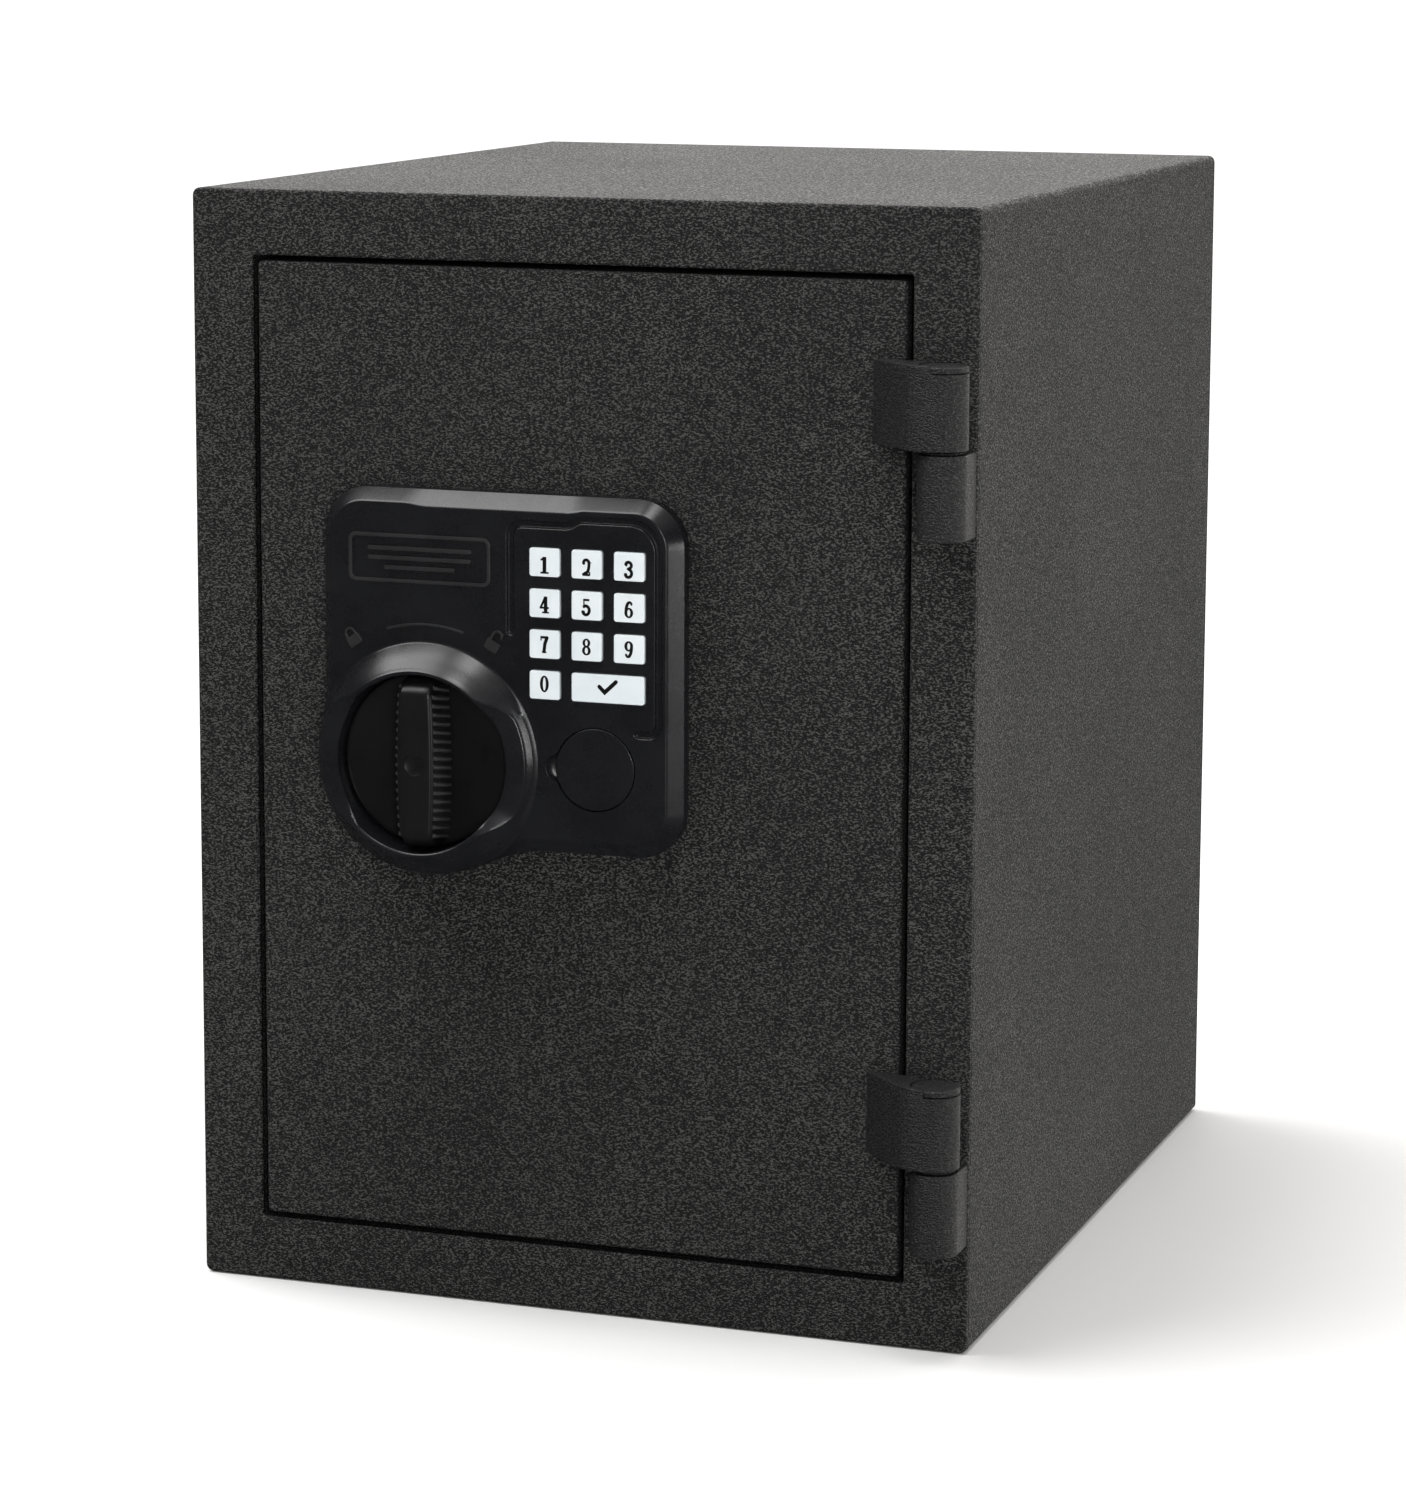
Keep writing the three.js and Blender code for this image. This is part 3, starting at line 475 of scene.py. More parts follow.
def metal(name, base, rough, stretch, grain=0.01):
    """Metal with fine drawn lines, longer along the axes where stretch is small."""
    paint = Paint(name, rough, 1.0)
    lines = paint.noise(1.0, 3.0, paint.scaled(stretch))
    stains = paint.noise(70.0, 4.0)
    darker = [channel * 0.82 for channel in base]
    paint.colour(paint.ramp(stains, 0.35, 0.7), base, darker)
    paint.roughness(paint.total(paint.spread(lines, rough - 0.05, rough + 0.07),
                                paint.spread(stains, -0.03, 0.05)))
    return paint.bump(lines, grain)


def fire_board():
    paint = Paint("insulation_board", 0.95)
    grains = paint.noise(420.0, 6.0, rough=0.7)
    pits = paint.cells(300.0)
    paint.colour(paint.spread(grains), (0.36, 0.34, 0.30), (0.50, 0.48, 0.43))
    return paint.bump(paint.total(grains, paint.ramp(pits, 0.0, 0.3, 0.0, 0.7)), 0.5)


def carpet():
    paint = Paint("carpet", 0.95)
    tufts = paint.cells(620.0, paint.warped(300.0, 0.002))
    fibre = paint.noise(3000.0, 3.0)
    height = paint.total(paint.ramp(tufts, 0.0, 0.8, 1.0, 0.0), paint.spread(fibre, 0.0, 0.6))
    paint.colour(paint.ramp(height, 0.4, 1.4), (0.012, 0.012, 0.014), (0.055, 0.055, 0.06))
    paint.shader.inputs["Sheen Weight"].default_value = 0.3
    return paint.bump(height, 0.6)


def seal_felt():
    paint = Paint("seal", 0.9)
    fibre = paint.noise(900.0, 5.0, rough=0.65)
    paint.colour(paint.spread(fibre), (0.035, 0.031, 0.028), (0.075, 0.068, 0.060))
    return paint.bump(fibre, 0.3)


def circuit_board():
    paint = Paint("circuit_board", 0.4, coat=0.4)
    traces = paint.cells(260.0, feature="DISTANCE_TO_EDGE")
    paint.colour(paint.ramp(traces, 0.03, 0.06), (0.012, 0.10, 0.045), (0.006, 0.05, 0.022))
    return paint.bump(paint.ramp(traces, 0.02, 0.07, 1.0, 0.0), 0.04)


def battery_wrap():
    paint = Paint("battery_wrap", 0.35, coat=0.5)
    bands = paint.ramp(paint.noise(2.0, 1.0, paint.scaled((60, 8, 8))), 0.45, 0.55)
    scuffs = paint.noise(260.0, 5.0)
    paint.colour(bands, (0.02, 0.022, 0.026), (0.05, 0.055, 0.062))
    paint.roughness(paint.spread(scuffs, 0.28, 0.42))
    return paint.material


# The lighter second colour of CABINET and HINGE is a painted highlight on the crowns of the grain.
CABINET = textured_paint("cabinet_paint", (0.003, 0.003, 0.0032), (0.074, 0.073, 0.0705), 900.0, 0.32, 0.615)
HINGE = textured_paint("hinge_paint", (0.006, 0.006, 0.0063), (0.022, 0.022, 0.022), 950.0, 0.26, 0.5, 0.22)
LINER = satin_plastic("liner_plastic", (0.030, 0.030, 0.032), 0.55, 0.05)
BEZEL = satin_plastic("bezel_plastic", (0.0066, 0.0068, 0.0082), 0.27, 0.008)
# The raised marks are moulded in the bezel's black plastic; their colour, about three times lighter than
# BEZEL, is a painted highlight on their edges.
MARK_HIGHLIGHT = satin_plastic("mark_plastic", (0.0185, 0.0185, 0.019), 0.34, 0.004)
KNOB = satin_plastic("knob_plastic", (0.0046, 0.0046, 0.0052), 0.31, 0.008)
# The ribs are the knob's black plastic, coloured several times lighter than KNOB as a painted glint on their
# edges.
RIB_GLINT = satin_plastic("rib_plastic", (0.030, 0.030, 0.030), 0.30, 0.02)
RUBBER = satin_plastic("rubber", (0.012, 0.012, 0.013), 0.75, 0.04)
KEY = key_plastic()
INK = ink()
STEEL = metal("steel", (0.55, 0.56, 0.57), 0.34, (90, 90, 2400))
CHROME = metal("bolt_chrome", (0.72, 0.73, 0.74), 0.16, (160, 1800, 1800), 0.004)
BRASS = metal("brass", (0.62, 0.45, 0.20), 0.30, (1500, 120, 1500))
BOARD = fire_board()
CARPET = carpet()
SEAL = seal_felt()
CIRCUIT = circuit_board()
BATTERY = battery_wrap()


# ---- cabinet

def front_frame():
    outer = rounded_box(BODY_LOW, BODY_HIGH, 3.0, 5)
    hole = rounded(-OPENING_X, OPENING_X, *OPENING_Z, 1.0, 3)
    shape = Shape().slab(outer, FRONT, FRONT + 2.3, 1.1, 0.3, holes=[hole])
    depth = box_of("front_frame")[1].y
    cut = FRONT + 29.5
    jamb = rounded(-OPENING_X - SHEET, OPENING_X + SHEET, OPENING_Z[0] - SHEET, OPENING_Z[1] + SHEET, 2.0, 3)
    shape.slab(jamb, FRONT + 1.2, cut, 0, holes=[hole])
    low, high = box_of("bolt_channel_left")
    for near, far in ((OPENING_Z[0], low.z + 1.5), (OPENING_Z[1], high.z - 1.5)):
        way = SHEET if far > near else -SHEET
        x = OPENING_X
        corners = [(-x - SHEET, far), (-x - SHEET, near - way), (x + SHEET, near - way), (x + SHEET, far),
                   (x, far), (x, near), (-x, near), (-x, far)]
        if way < 0:
            corners.reverse()
        shape.slab(drawn(corners), cut - 0.4, depth, 0)
    make("front_frame_face", shape, CABINET, "cabinet", ["front_frame"])


def outer_shell():
    low, high = box_of("outer_shell")
    outer = rounded_box(low, high, 3.0, 5)
    inner = rounded_box(low, high, 1.0, 5, -SHEET)
    shape = Shape()
    profile = [(0.35, low.y), (0.1, low.y + 0.15), (0, low.y + 0.5), (0, high.y - 0.5),
               (0.1, high.y - 0.15), (0.35, high.y)]
    shape.stack(loops(outer, *profile) + loops(inner, (0, high.y), (0, low.y)), closed=True)
    make("wrap_sheet", shape, CABINET, "cabinet", ["outer_shell"])


def back_panel():
    low, high = box_of("back_panel")
    sheet = Shape().slab(rounded_box(low, high, 3.0, 5), high.y, low.y, 1.1, 0.3)
    make("rear_sheet", sheet, CABINET, "cabinet", ["back_panel"])


front_frame()
outer_shell()
back_panel()


# ---- door

def door_panel():
    outer = rounded_box(DOOR_LOW, DOOR_HIGH, 2.0, 4)
    plate = 2.5
    profile = [(SHEET, FRONT + plate), (SHEET, DOOR_HIGH.y), (0, DOOR_HIGH.y)]
    profile += [(inset, FRONT + back) for inset, back in soft_edge(1.2, 4)]
    shape = Shape().layers(outer, profile)
    bores = Shape()
    for place, radius in ((DIAL, 8.0), (PORT, 9.9)):
        bores.slab(circle(place.x, place.z, radius, 32), FRONT - 1, FRONT + plate + 1, 0)
    make("door_skin", carve(shape, bores), CABINET, "door", ["door_panel"])


def bolt_heights():
    return [middle_of(name).z for name in ("locking_bolt_lower", "locking_bolt_upper")]


def cross_head(x, z, face):
    """A pan-head screw that stands out to the back, with a cross recess."""
    radius = 3.6
    at = lambda u, v, out: Vector((x + u, face + out, z + v))
    profile = [(radius, -0.5), (radius, 0.5), (radius * 0.93, 1.1), (radius * 0.72, 1.6),
               (radius * 0.3, 1.85)]
    made = Shape().lathe(profile, at, 24)
    for half in ((0.45, 1.9), (1.9, 0.45)):
        slot = Shape().box((x - half[0], face + 0.9, z - half[1]), (x + half[0], face + 2.6, z + half[1]))
        made = carve(made, slot)
    return made


def inner_cover():
    """The moulded cover behind the door: a rim on the door's edge and a raised box over the boltwork."""
    rim = rounded_box(COVER_LOW, COVER_HIGH, 2.0, 4)
    step = 7.5
    inner = rounded_box(COVER_LOW, COVER_HIGH, 5.0, 4, -step)
    near, far = COVER_LOW.y, COVER_HIGH.y
    wall = 2.5
    rings = loops(inner, (wall, far - wall), (wall, near))
    rings += loops(rim, (0, near), (0, near + 1.7), (0.3, near + 2.3), (0.8, near + 2.5))
    rings += loops(inner, (-0.8, near + 2.5), (-0.2, near + 2.7), (0, near + 3.3))
    rings += loops(inner, *[(inset, far - back) for inset, back in soft_edge(2.5, 4)])
    rings += loops(inner, (9.0, far), (9.5, far - 0.7), (11.0, far - 0.7), (11.5, far))
    hole = rounded_box(*box_of("battery_cover"), 1.5, 4, 0.4)
    shape = Shape()
    made = shape.stack(rings)
    well = shape.stack(loops(hole, (0, far - wall), (0, far - 0.4), (-0.4, far)))
    shape.fill([made[0], well[0]], [inner(wall), hole(0)])
    shape.fill([made[-1], well[-1]], [inner(11.5), hole(-0.4)])
    bores = Shape()
    for z in bolt_heights():
        depth = middle_of("locking_bolt_lower").y
        place = about_x(Vector((0, depth, z)))
        bores.lathe([(9.4, COVER_LOW.x), (9.4, COVER_LOW.x + 20)], place, 40)
        bores.lathe([(8.4, COVER_HIGH.x - 20), (8.4, COVER_HIGH.x)], place, 40)
    make("door_back_cover", carve(shape, bores), LINER, "door", ["door_inner_cover"])
    screws = Shape()
    inset = 15.5
    x0, x1 = COVER_LOW.x + step + inset, COVER_HIGH.x - step - inset
    z0, z1 = COVER_LOW.z + step + inset, COVER_HIGH.z - step - inset
    places = [(x, z) for x in (x0, (x0 + x1) / 2, x1) for z in (z0, z1)]
    places += [(x, z0 + (z1 - z0) * share) for x in (x0, x1) for share in (1 / 3, 2 / 3)]
    for x, z in places:
        screws.add(cross_head(x, z, far))
    make("cover_screws", screws, STEEL, "door")


def battery_cover():
    low, high = box_of("battery_cover")
    shape = Shape().slab(rounded_box(low, high, 1.2, 4), high.y, low.y, 0.5)
    for k in range(7):
        z = low.z + 12 + 2.6 * k
        rib = rounded(low.x + 18, high.x - 18, z - 0.6, z + 0.6, 0.5, 3)
        shape.slab(rib, high.y + 0.7, high.y - 0.3, 0.4)
    middle = middle_of("battery_cover").x
    tab = rounded(middle - 8, middle + 8, high.z - 8, high.z - 2.5, 1.2, 3)
    shape.slab(tab, high.y + 1.2, high.y - 0.4, 0.6)
    make("battery_lid", shape, LINER, "battery_cover", ["battery_cover"])


def batteries():
    for name in ["battery_" + mark for mark in "1234"]:
        centre, size = middle_of(name), size_of(name)
        radius, half = size.z / 2, size.x / 2
        end = -1 if int(name[-1]) % 2 else 1
        place = lambda u, v, level: Vector((centre.x + end * level, centre.y + u, centre.z + v))
        sleeve = [(radius - 1.2, -half + 0.3), (radius - 0.3, -half), (radius, -half + 0.5),
                  (radius, half - 2.0), (radius - 0.4, half - 1.5), (radius - 1.2, half - 1.4)]
        make(name + "_wrap", Shape().lathe(sleeve, place, 32), BATTERY, "door", [name])
        pole = [(radius - 1.4, half - 1.8), (radius - 1.4, half - 1.2), (2.7, half - 1.1), (2.6, half - 0.2),
                (2.2, half)]
        make(name + "_cap", Shape().lathe(pole, place, 24), CHROME, "door")


def bolts():
    for name in ("locking_bolt_lower", "locking_bolt_upper", "fixed_bolt_lower", "fixed_bolt_upper"):
        low, high = box_of(name)
        radius = size_of(name).z / 2
        sliding = name.startswith("locking")
        tip, foot = (low.x, high.x) if sliding else (high.x, low.x)
        way = 1 if foot > tip else -1
        profile = [(radius - 2.2, tip), (radius - 1.6, tip + way * 0.2), (radius - 0.3, tip + way * 1.5),
                   (radius, tip + way * 2.1), (radius, foot - way * 0.4), (radius - 0.4, foot)]
        bar = Shape().lathe(profile, about_x(middle_of(name)), 48)
        make(name + "_bar", bar, CHROME, "bolts" if sliding else "door", [name])


# ---- lock on the front of the door

BEVEL = 5.2
COLLAR_BEVEL = 1.4
TOP_BEVEL = 6.4
LOW_BEVEL = 6.8
FILLET = 60.0
CORNER = 19.0


def blend(value, start, end):
    """A smooth step from 0 at start to 1 at end."""
    share = min(1.0, max(0.0, (value - start) / (end - start)))
    return share * share * (3 - 2 * share)


def bezel_path():
    """The bezel's outline, anticlockwise, as (place, outward direction, bevel width)."""
    x0, x1, z0, z1 = BEZEL_X0, BEZEL_HIGH.x, BEZEL_Z0, BEZEL_HIGH.z
    radius = COLLAR_RADIUS
    path = []

    def along(start, end, outward, step=3.0):
        start, end = Vector(start), Vector(end)
        count = max(2, round((end - start).length / step))
        for k in range(1, count):
            path.append((start.lerp(end, k / count), Vector(outward)))

    def turn(x, z, r, first, last, steps, sign=1):
        for place in arc(x, z, r, first, last, steps):
            path.append((Vector(place), (Vector(place) - Vector((x, z))).normalized() * sign))

    drop = DIAL.z - z0 + FILLET
    fillet_x = DIAL.x + sqrt((radius + FILLET) ** 2 - drop ** 2)
    leaving = 180 - degrees(acos((DIAL.x - x0) / radius))
    touching = degrees(atan2(-drop, fillet_x - DIAL.x)) + 360
    turn(x1 - CORNER, z0 + CORNER, CORNER, -90, 0, 10)
    along((x1, z0 + CORNER), (x1, z1 - CORNER), (1, 0), 12)
    turn(x1 - CORNER, z1 - CORNER, CORNER, 0, 90, 10)
    along((x1 - CORNER, z1), (x0 + CORNER, z1), (0, 1))
    turn(x0 + CORNER, z1 - CORNER, CORNER, 90, 180, 10)
    leave_z = DIAL.z + radius * sin(radians(leaving))
    along((x0, z1 - CORNER), (x0, leave_z), (-1, 0), 4)
    turn(DIAL.x, DIAL.z, radius - 0.6, leaving, touching, 30)
    turn(fillet_x, z0 - FILLET, FILLET, touching - 180, 90, 8, -1)
    along((fillet_x, z0), (x1 - CORNER, z0), (0, -1), 6)

    made = []
    for place, outward in path:
        width = BEVEL
        if outward.y > 0.99:
            rise = blend(place.x, -67.5, -58.5) * (1 - blend(place.x, 1.5, 8.5))
            width += (TOP_BEVEL - BEVEL) * rise
        if place.x > fillet_x - FILLET:
            width += (LOW_BEVEL - BEVEL) * blend(-outward.y, 0.2, 0.95)
        angle = degrees(atan2(place.y - DIAL.z, place.x - DIAL.x)) % 360
        if leaving - 8 < angle < touching + 25 and place.x < fillet_x:
            near = blend(angle, leaving - 8, leaving) * (1 - blend(angle, touching, touching + 22))
            width += (COLLAR_BEVEL - width) * near
        made.append((place, outward, width))
    return made


BEZEL_X0 = -103.8
BEZEL_Z0 = 188.2
BEVEL_PROFILE = [(0.0, 0.2), (0.0, 5.0), (0.04, 5.5), (0.84, 11.0), (0.90, 11.4), (0.96, 11.75),
                 (1.03, 11.95), (1.10, 12.0)]


def keypad_groove():
    """The groove round the keypad, open at its lower left, as a path."""
    left, right, low, step, high = -22.3, 39.2, 276.0, 318.6, 321.2
    path = [(left, low), (left, 300.0)]
    path += arc(left + 4.5, step - 4.5, 4.5, 180, 90, 5)
    path += [(0.6, step), (2.6, step + 0.4), (5.6, high - 0.4), (7.6, high)]
    path += arc(right - 12.0, high - 12.0, 12.0, 90, 0, 8)
    path += [(right, 290.0), (right, 260.0)]
    path += arc(right - 4.6, 242.8, 4.6, 0, -90, 6)
    path += [(right - 8.5, 238.2)]
    return path


def port_edge(share):
    """The round port with the nail notch at its left; share is how much of the notch is there."""
    radius = COVER_RADIUS + 0.35
    long, wide = 5.4, 4.3
    made = []
    for k in range(120):
        angle = radians(3 * k)
        u, v = cos(angle), sin(angle)
        reach = radius
        a = (u / wide) ** 2 + (v / long) ** 2
        b = 2 * u * radius * 0.98 / wide ** 2
        c = (radius * 0.98 / wide) ** 2 - 1
        inside = b * b - 4 * a * c
        if u < 0 and inside > 0:
            reach = max(radius, (-b + sqrt(inside)) / (2 * a))
        reach = radius + (reach - radius) * share
        made.append((PORT.x + reach * u, PORT.z + reach * v))
    return made


def key_outline(name, grow=0.0):
    low, high = box_of(name)
    flange = 0.9
    return rounded_box(low, high, 1.0 + grow, 4, grow - flange)


def pocket(shape, levels):
    """A hollow in the bezel's face: rings of (loop, height), the first one at the face."""
    rings = shape.stack([[in_front(x, z, FRONT - height) for x, z in loop] for loop, height in levels])
    shape.fill([rings[-1]], [levels[-1][0]])
    return rings[0], levels[0][0]


def lock_bezel():
    shape = Shape()
    path = bezel_path()
    rings = []
    for share, height in BEVEL_PROFILE:
        rings.append([in_front(*(place - outward * width * share), FRONT - height)
                      for place, outward, width in path])
    made = shape.stack(rings)
    flat = [[(point.x, point.z) for point in ring] for ring in (rings[0], rings[-1])]
    shape.fill([made[0]], [flat[0]])

    face = [(made[-1], flat[1])]
    collar = circle(DIAL.x, DIAL.z, 42.5, 72)
    face.append(pocket(shape, [(collar(0), FACE), (collar(0), 1.0)]))
    groove = drawn(ribbon(keypad_groove(), 3.0))
    face.append(pocket(shape, [(groove(inset), FACE - depth) for inset, depth in
                               ((-0.5, 0), (-0.2, 0.10), (0.05, 0.35), (0.35, 1.0), (0.75, 1.25))]))
    for name in KEYS:
        hole = key_outline(name, 0.35)
        face.append(pocket(shape, [(hole(inset), FACE - depth) for inset, depth in
                                   ((-0.35, 0), (-0.1, 0.1), (0, 0.35), (0, 6.3))]))
    notch = [(port_edge(1.08), FACE), (port_edge(1.0), FACE - 0.12), (port_edge(0.93), FACE - 0.5),
             (port_edge(0.75), FACE - 1.3), (port_edge(0.45), FACE - 2.1), (port_edge(0.0), FACE - 2.6),
             (port_edge(0.0), 4.0)]
    face.append(pocket(shape, notch))
    shape.fill([ring for ring, _ in face], [loop for _, loop in face])
    make("lock_housing", shape, BEZEL, "door", ["lock_bezel"], 28)


HIGH_RIM = [(44.2, 15.9), (41.2, 19.1), (38.6, 21.95), (38.0, 22.75), (37.5, 23.4), (37.1, 23.8),
            (36.5, 23.75), (35.9, 23.4), (35.55, 22.8), (35.4, 22.0)]
LOW_RIM = [(45.6, 12.7), (44.9, 13.7), (44.2, 14.7), (43.9, 15.15), (43.4, 15.6), (42.8, 15.8), (41.5, 15.95),
           (37.0, 16.75), (35.8, 16.6), (35.4, 15.9)]


def collar():
    """The round collar about the knob, with a low scallop at each side for the fingers."""
    shape = Shape()
    rings = []
    steps = 180
    leaving, touching = 160.0, 302.0
    for k in range(steps):
        angle = 360 * k / steps
        off_level = min(abs((angle % 180)), 180 - (angle % 180))
        high = blend(off_level, 24.0, 50.0)
        outside = blend(angle, leaving - 8, leaving + 4) * (1 - blend(angle, touching - 4, touching + 8))
        foot = 1 - outside
        profile = [(46.2 + 1.6 * foot, 11.7 + 0.2 * foot), (46.2 + 0.9 * foot, 11.8 + 0.35 * foot),
                   (46.1 + 0.35 * foot, 12.1 + 0.4 * foot)]
        profile += [(low[0] + (top[0] - low[0]) * high, low[1] + (top[1] - low[1]) * high)
                    for low, top in zip(LOW_RIM, HIGH_RIM)]
        profile += [(35.4, 10.0), (35.4, 4.0), (11.0, 4.0), (11.0, 1.6), (37.0, 1.6), (37.8, 0.25),
                    (COLLAR_RADIUS - 0.3, 0.25), (COLLAR_RADIUS, 0.6), (COLLAR_RADIUS - 0.1, 1.2)]
        turn = radians(angle)
        rings.append([on_dial(r * cos(turn), r * sin(turn), t) for r, t in profile])
    shape.stack(rings, closed=True)
    make("dial_collar", shape, BEZEL, "door", angle=30)


def padlock(x, z, lean, shackle_open):
    """Outlines of a small padlock symbol, as the lock's stand-in for words."""
    tilt = radians(lean)

    def turned(points):
        return [(x + u * cos(tilt) - v * sin(tilt), z + u * sin(tilt) + v * cos(tilt))
                for u, v in points]

    body = turned(rounded(-3.0, 3.0, -3.6, 0.8, 0.8, 3)(0))
    lift = 1.2 if shackle_open else 0.0
    shackle = [(-1.9, 0.4)] + arc(0, 1.9 + lift, 1.9, 180, 0, 10)
    shackle += [] if shackle_open else [(1.9, 0.4)]
    return body, ribbon(turned(shackle), 1.0, 3)


def face_marks():
    """Raised marks on the bezel, coloured lighter than the bezel as a painted highlight: the blank label
    plate's rim and ribs, two padlocks and the arc between.
    """
    shape = Shape()

    def raise_mark(points, height, holes=()):
        shape.slab(drawn(points), FRONT - FACE - height, FRONT - FACE + 0.4, 0.4, holes=holes, steps=2)

    plate = rounded(-90.6, -30.5, 292.9, 312.3, 3.0, 5)
    raise_mark(plate(0), 0.7, [rounded(-89.1, -32.0, 294.4, 310.8, 2.0, 5)])
    for z, half in ((306.4, 22.0), (302.6, 22.0), (298.8, 15.0)):
        raise_mark(rounded(-60.5 - half, -60.5 + half, z - 0.9, z + 0.9, 0.8, 4)(0), 0.6)
    reach = 56.5
    for lean, shackle_open in ((33.0, False), (-31.0, True)):
        turn = radians(lean)
        x, z = DIAL.x - reach * sin(turn), DIAL.z + reach * cos(turn)
        for points in padlock(x, z, lean, shackle_open):
            raise_mark(points, 0.9)
    bead = arc(DIAL.x, DIAL.z, 54.0, 107, 73, 16)
    raise_mark(ribbon(bead, 1.1), 0.4)
    make("face_marks", shape, MARK_HIGHLIGHT, "door")


def port_cover():
    low, high = box_of("keyhole_cover")
    cap = Shape().slab(circle(PORT.x, PORT.z, COVER_RADIUS - 0.1, 96), low.y, high.y, 0.4)
    make("port_cap", cap, BEZEL, "keyhole_cover", ["keyhole_cover"])


def key_lock():
    """The key lock's plug, with a keyway cut in its round face."""
    low, high = box_of("key_plug")
    centre = PORT
    radius = 6.5
    place = about_y(centre)
    plug = Shape().lathe([(radius - 0.6, low.y), (radius, low.y + 0.5), (radius, high.y - 2.5),
                         (radius - 0.5, high.y - 2.2)], place, 40)
    keyway = Shape()
    for half, z0, z1 in ((0.55, -4.2, 3.6), (1.3, -1.4, 0.2), (0.95, 1.4, 2.4)):
        keyway.box((centre.x - half, low.y - 1, centre.z + z0),
                (centre.x + half, low.y + 6, centre.z + z1))
    made = carve(plug, keyway)
    made.add(Shape().box((centre.x - 2, high.y - 2.5, centre.z - 2),
                       (centre.x + 2, high.y, centre.z + 10.5), 0.2))
    make("lock_plug", made, BRASS, "key_plug", ["key_plug"])
    low, high = box_of("lock_cylinder")
    profile = [(9.5, high.y), (9.5, low.y + 0.6), (9.1, low.y), (7.3, low.y), (6.8, low.y + 0.5),
               (6.8, high.y)]
    make("lock_sleeve", tube(profile, place), BRASS, "door", ["lock_cylinder"])


# ---- knob

GRIP_HALF = 33.5
GRIP_TOP = 24.0
DISH_LEVEL = 10.5
GRIP_FLARE = 3.0


def grip_half_width(z):
    """Half the grip's front face, which is bowed out in the middle."""
    return 6.2 + 1.1 * (1 - (z / GRIP_HALF) ** 2)


def grip_top(z):
    """How far the grip's face stands out: nearly flat, and sloping down over each end."""
    slope = blend(abs(z), 27.5, GRIP_HALF + 1.5)
    return GRIP_TOP - 0.5 * (z / GRIP_HALF) ** 2 - 5.0 * slope


def turn_knob():
    rim, level = DISH_RADIUS, DISH_LEVEL
    dish = [(rim, 4.6), (rim, level - 0.8), (rim - 0.25, level - 0.25), (rim - 0.8, level),
            (rim - 2.2, level - 0.1), (rim - 6.0, level - 0.7), (rim - 14.0, level - 1.4), (4.0, level - 1.6)]
    knob = Shape().lathe(dish, on_dial, 96)
    grip = Shape()
    rings, ends = [], []
    stations = [GRIP_HALF * sin(radians(90 * k / 24)) for k in range(-24, 25)]
    for z in stations:
        half, top = grip_half_width(z), grip_top(z)
        end = blend(abs(z), GRIP_HALF - 1.2, GRIP_HALF)
        half -= 0.9 * end
        top -= 0.9 * end
        foot = half + GRIP_FLARE * (top - 8) / (GRIP_TOP - 8)
        right = [(foot, 8.0), (half + 0.55, top - 2.2), (half + 0.15, top - 1.1), (half - 0.35, top - 0.4),
                 (half - 1.1, top - 0.05), (half * 0.5, top + 0.1)]
        section = right + [(-u, t) for u, t in reversed(right)]
        rings.append([on_dial(u, z, t) for u, t in section])
        ends.append(section)
    made = grip.stack(rings)
    grip.fill([made[0]], [ends[0]])
    grip.fill([made[-1]], [ends[-1]])
    hollow = [(0.0, 1.15), (1.2, 1.1), (2.4, 0.9), (3.4, 0.6), (3.9, 0.42), (4.2, 0.3), (4.35, 0.0),
              (4.6, -1.0)]
    hollow = [(radius, FRONT - GRIP_TOP + depth) for radius, depth in hollow]
    dimple = Shape().lathe(hollow, about_y(DIAL))
    knob.add(carve(grip, dimple))
    make("knob_grip", knob, KNOB, "knob", ["turn_knob"], 32)
    ribs = Shape()
    for side in (-1, 1):
        grip_ribs(ribs, side)
    # The ribs' lighter plastic is a painted glint.
    make("knob_ribs", ribs, RIB_GLINT, "knob", ["turn_knob"])


def grip_ribs(shape, side):
    """Slanting ribs down one flank of the grip."""
    count, pitch, slant = 18, 3.45, 2.2
    for k in range(count):
        z = (k - (count - 1) / 2) * pitch
        lower = []
        for share in (0.0, 0.12, 0.85, 1.0):
            at = z + slant * (0.5 - share)
            half, top = grip_half_width(at), min(grip_top(at), GRIP_TOP)
            level = top - 1.6 - (top - 1.6 - DISH_LEVEL + 0.2) * share
            flank = half + 0.45 + (GRIP_FLARE - 0.3) * (top - level) / (GRIP_TOP - 8)
            proud = 1.0 if 0 < share < 1 else 0.1
            round_rib = [(-0.5, -0.95), (proud * 0.35, -0.75), (proud, -0.3), (proud, 0.3),
                         (proud * 0.35, 0.75), (-0.5, 0.95)]
            lower.append([(side * (flank + out), at + up, level) for out, up in round_rib])
        rings = [[on_dial(*point) for point in section] for section in lower]
        made = shape.stack(rings)
        shape.faces.append(made[0])
        shape.faces.append(made[-1])


# ---- keys and their digits

THIN, MID = 0.85, 1.2


def hoop(x, z, rx, rz, side, crown):
    """An upright ring that is thick at its sides and thinner at its crown: outline and hole."""
    return [bowl(x, z, rx, rz, 0, 360, 28)[:-1], bowl(x, z, rx - side, rz - crown, 0, 360, 28)[:-1]]


def dot(x, z, radius, thick):
    return hoop(x, z, radius, radius, thick, thick)


def bar(x0, x1, z0, z1):
    return [[(x0, z0), (x1, z0), (x1, z1), (x0, z1)]]


def stroke(points, width=MID):
    return [ribbon(points, width, 4)]


def turned_over(strokes):
    return [[[(-x, -z) for x, z in loop] for loop in parts] for parts in strokes]


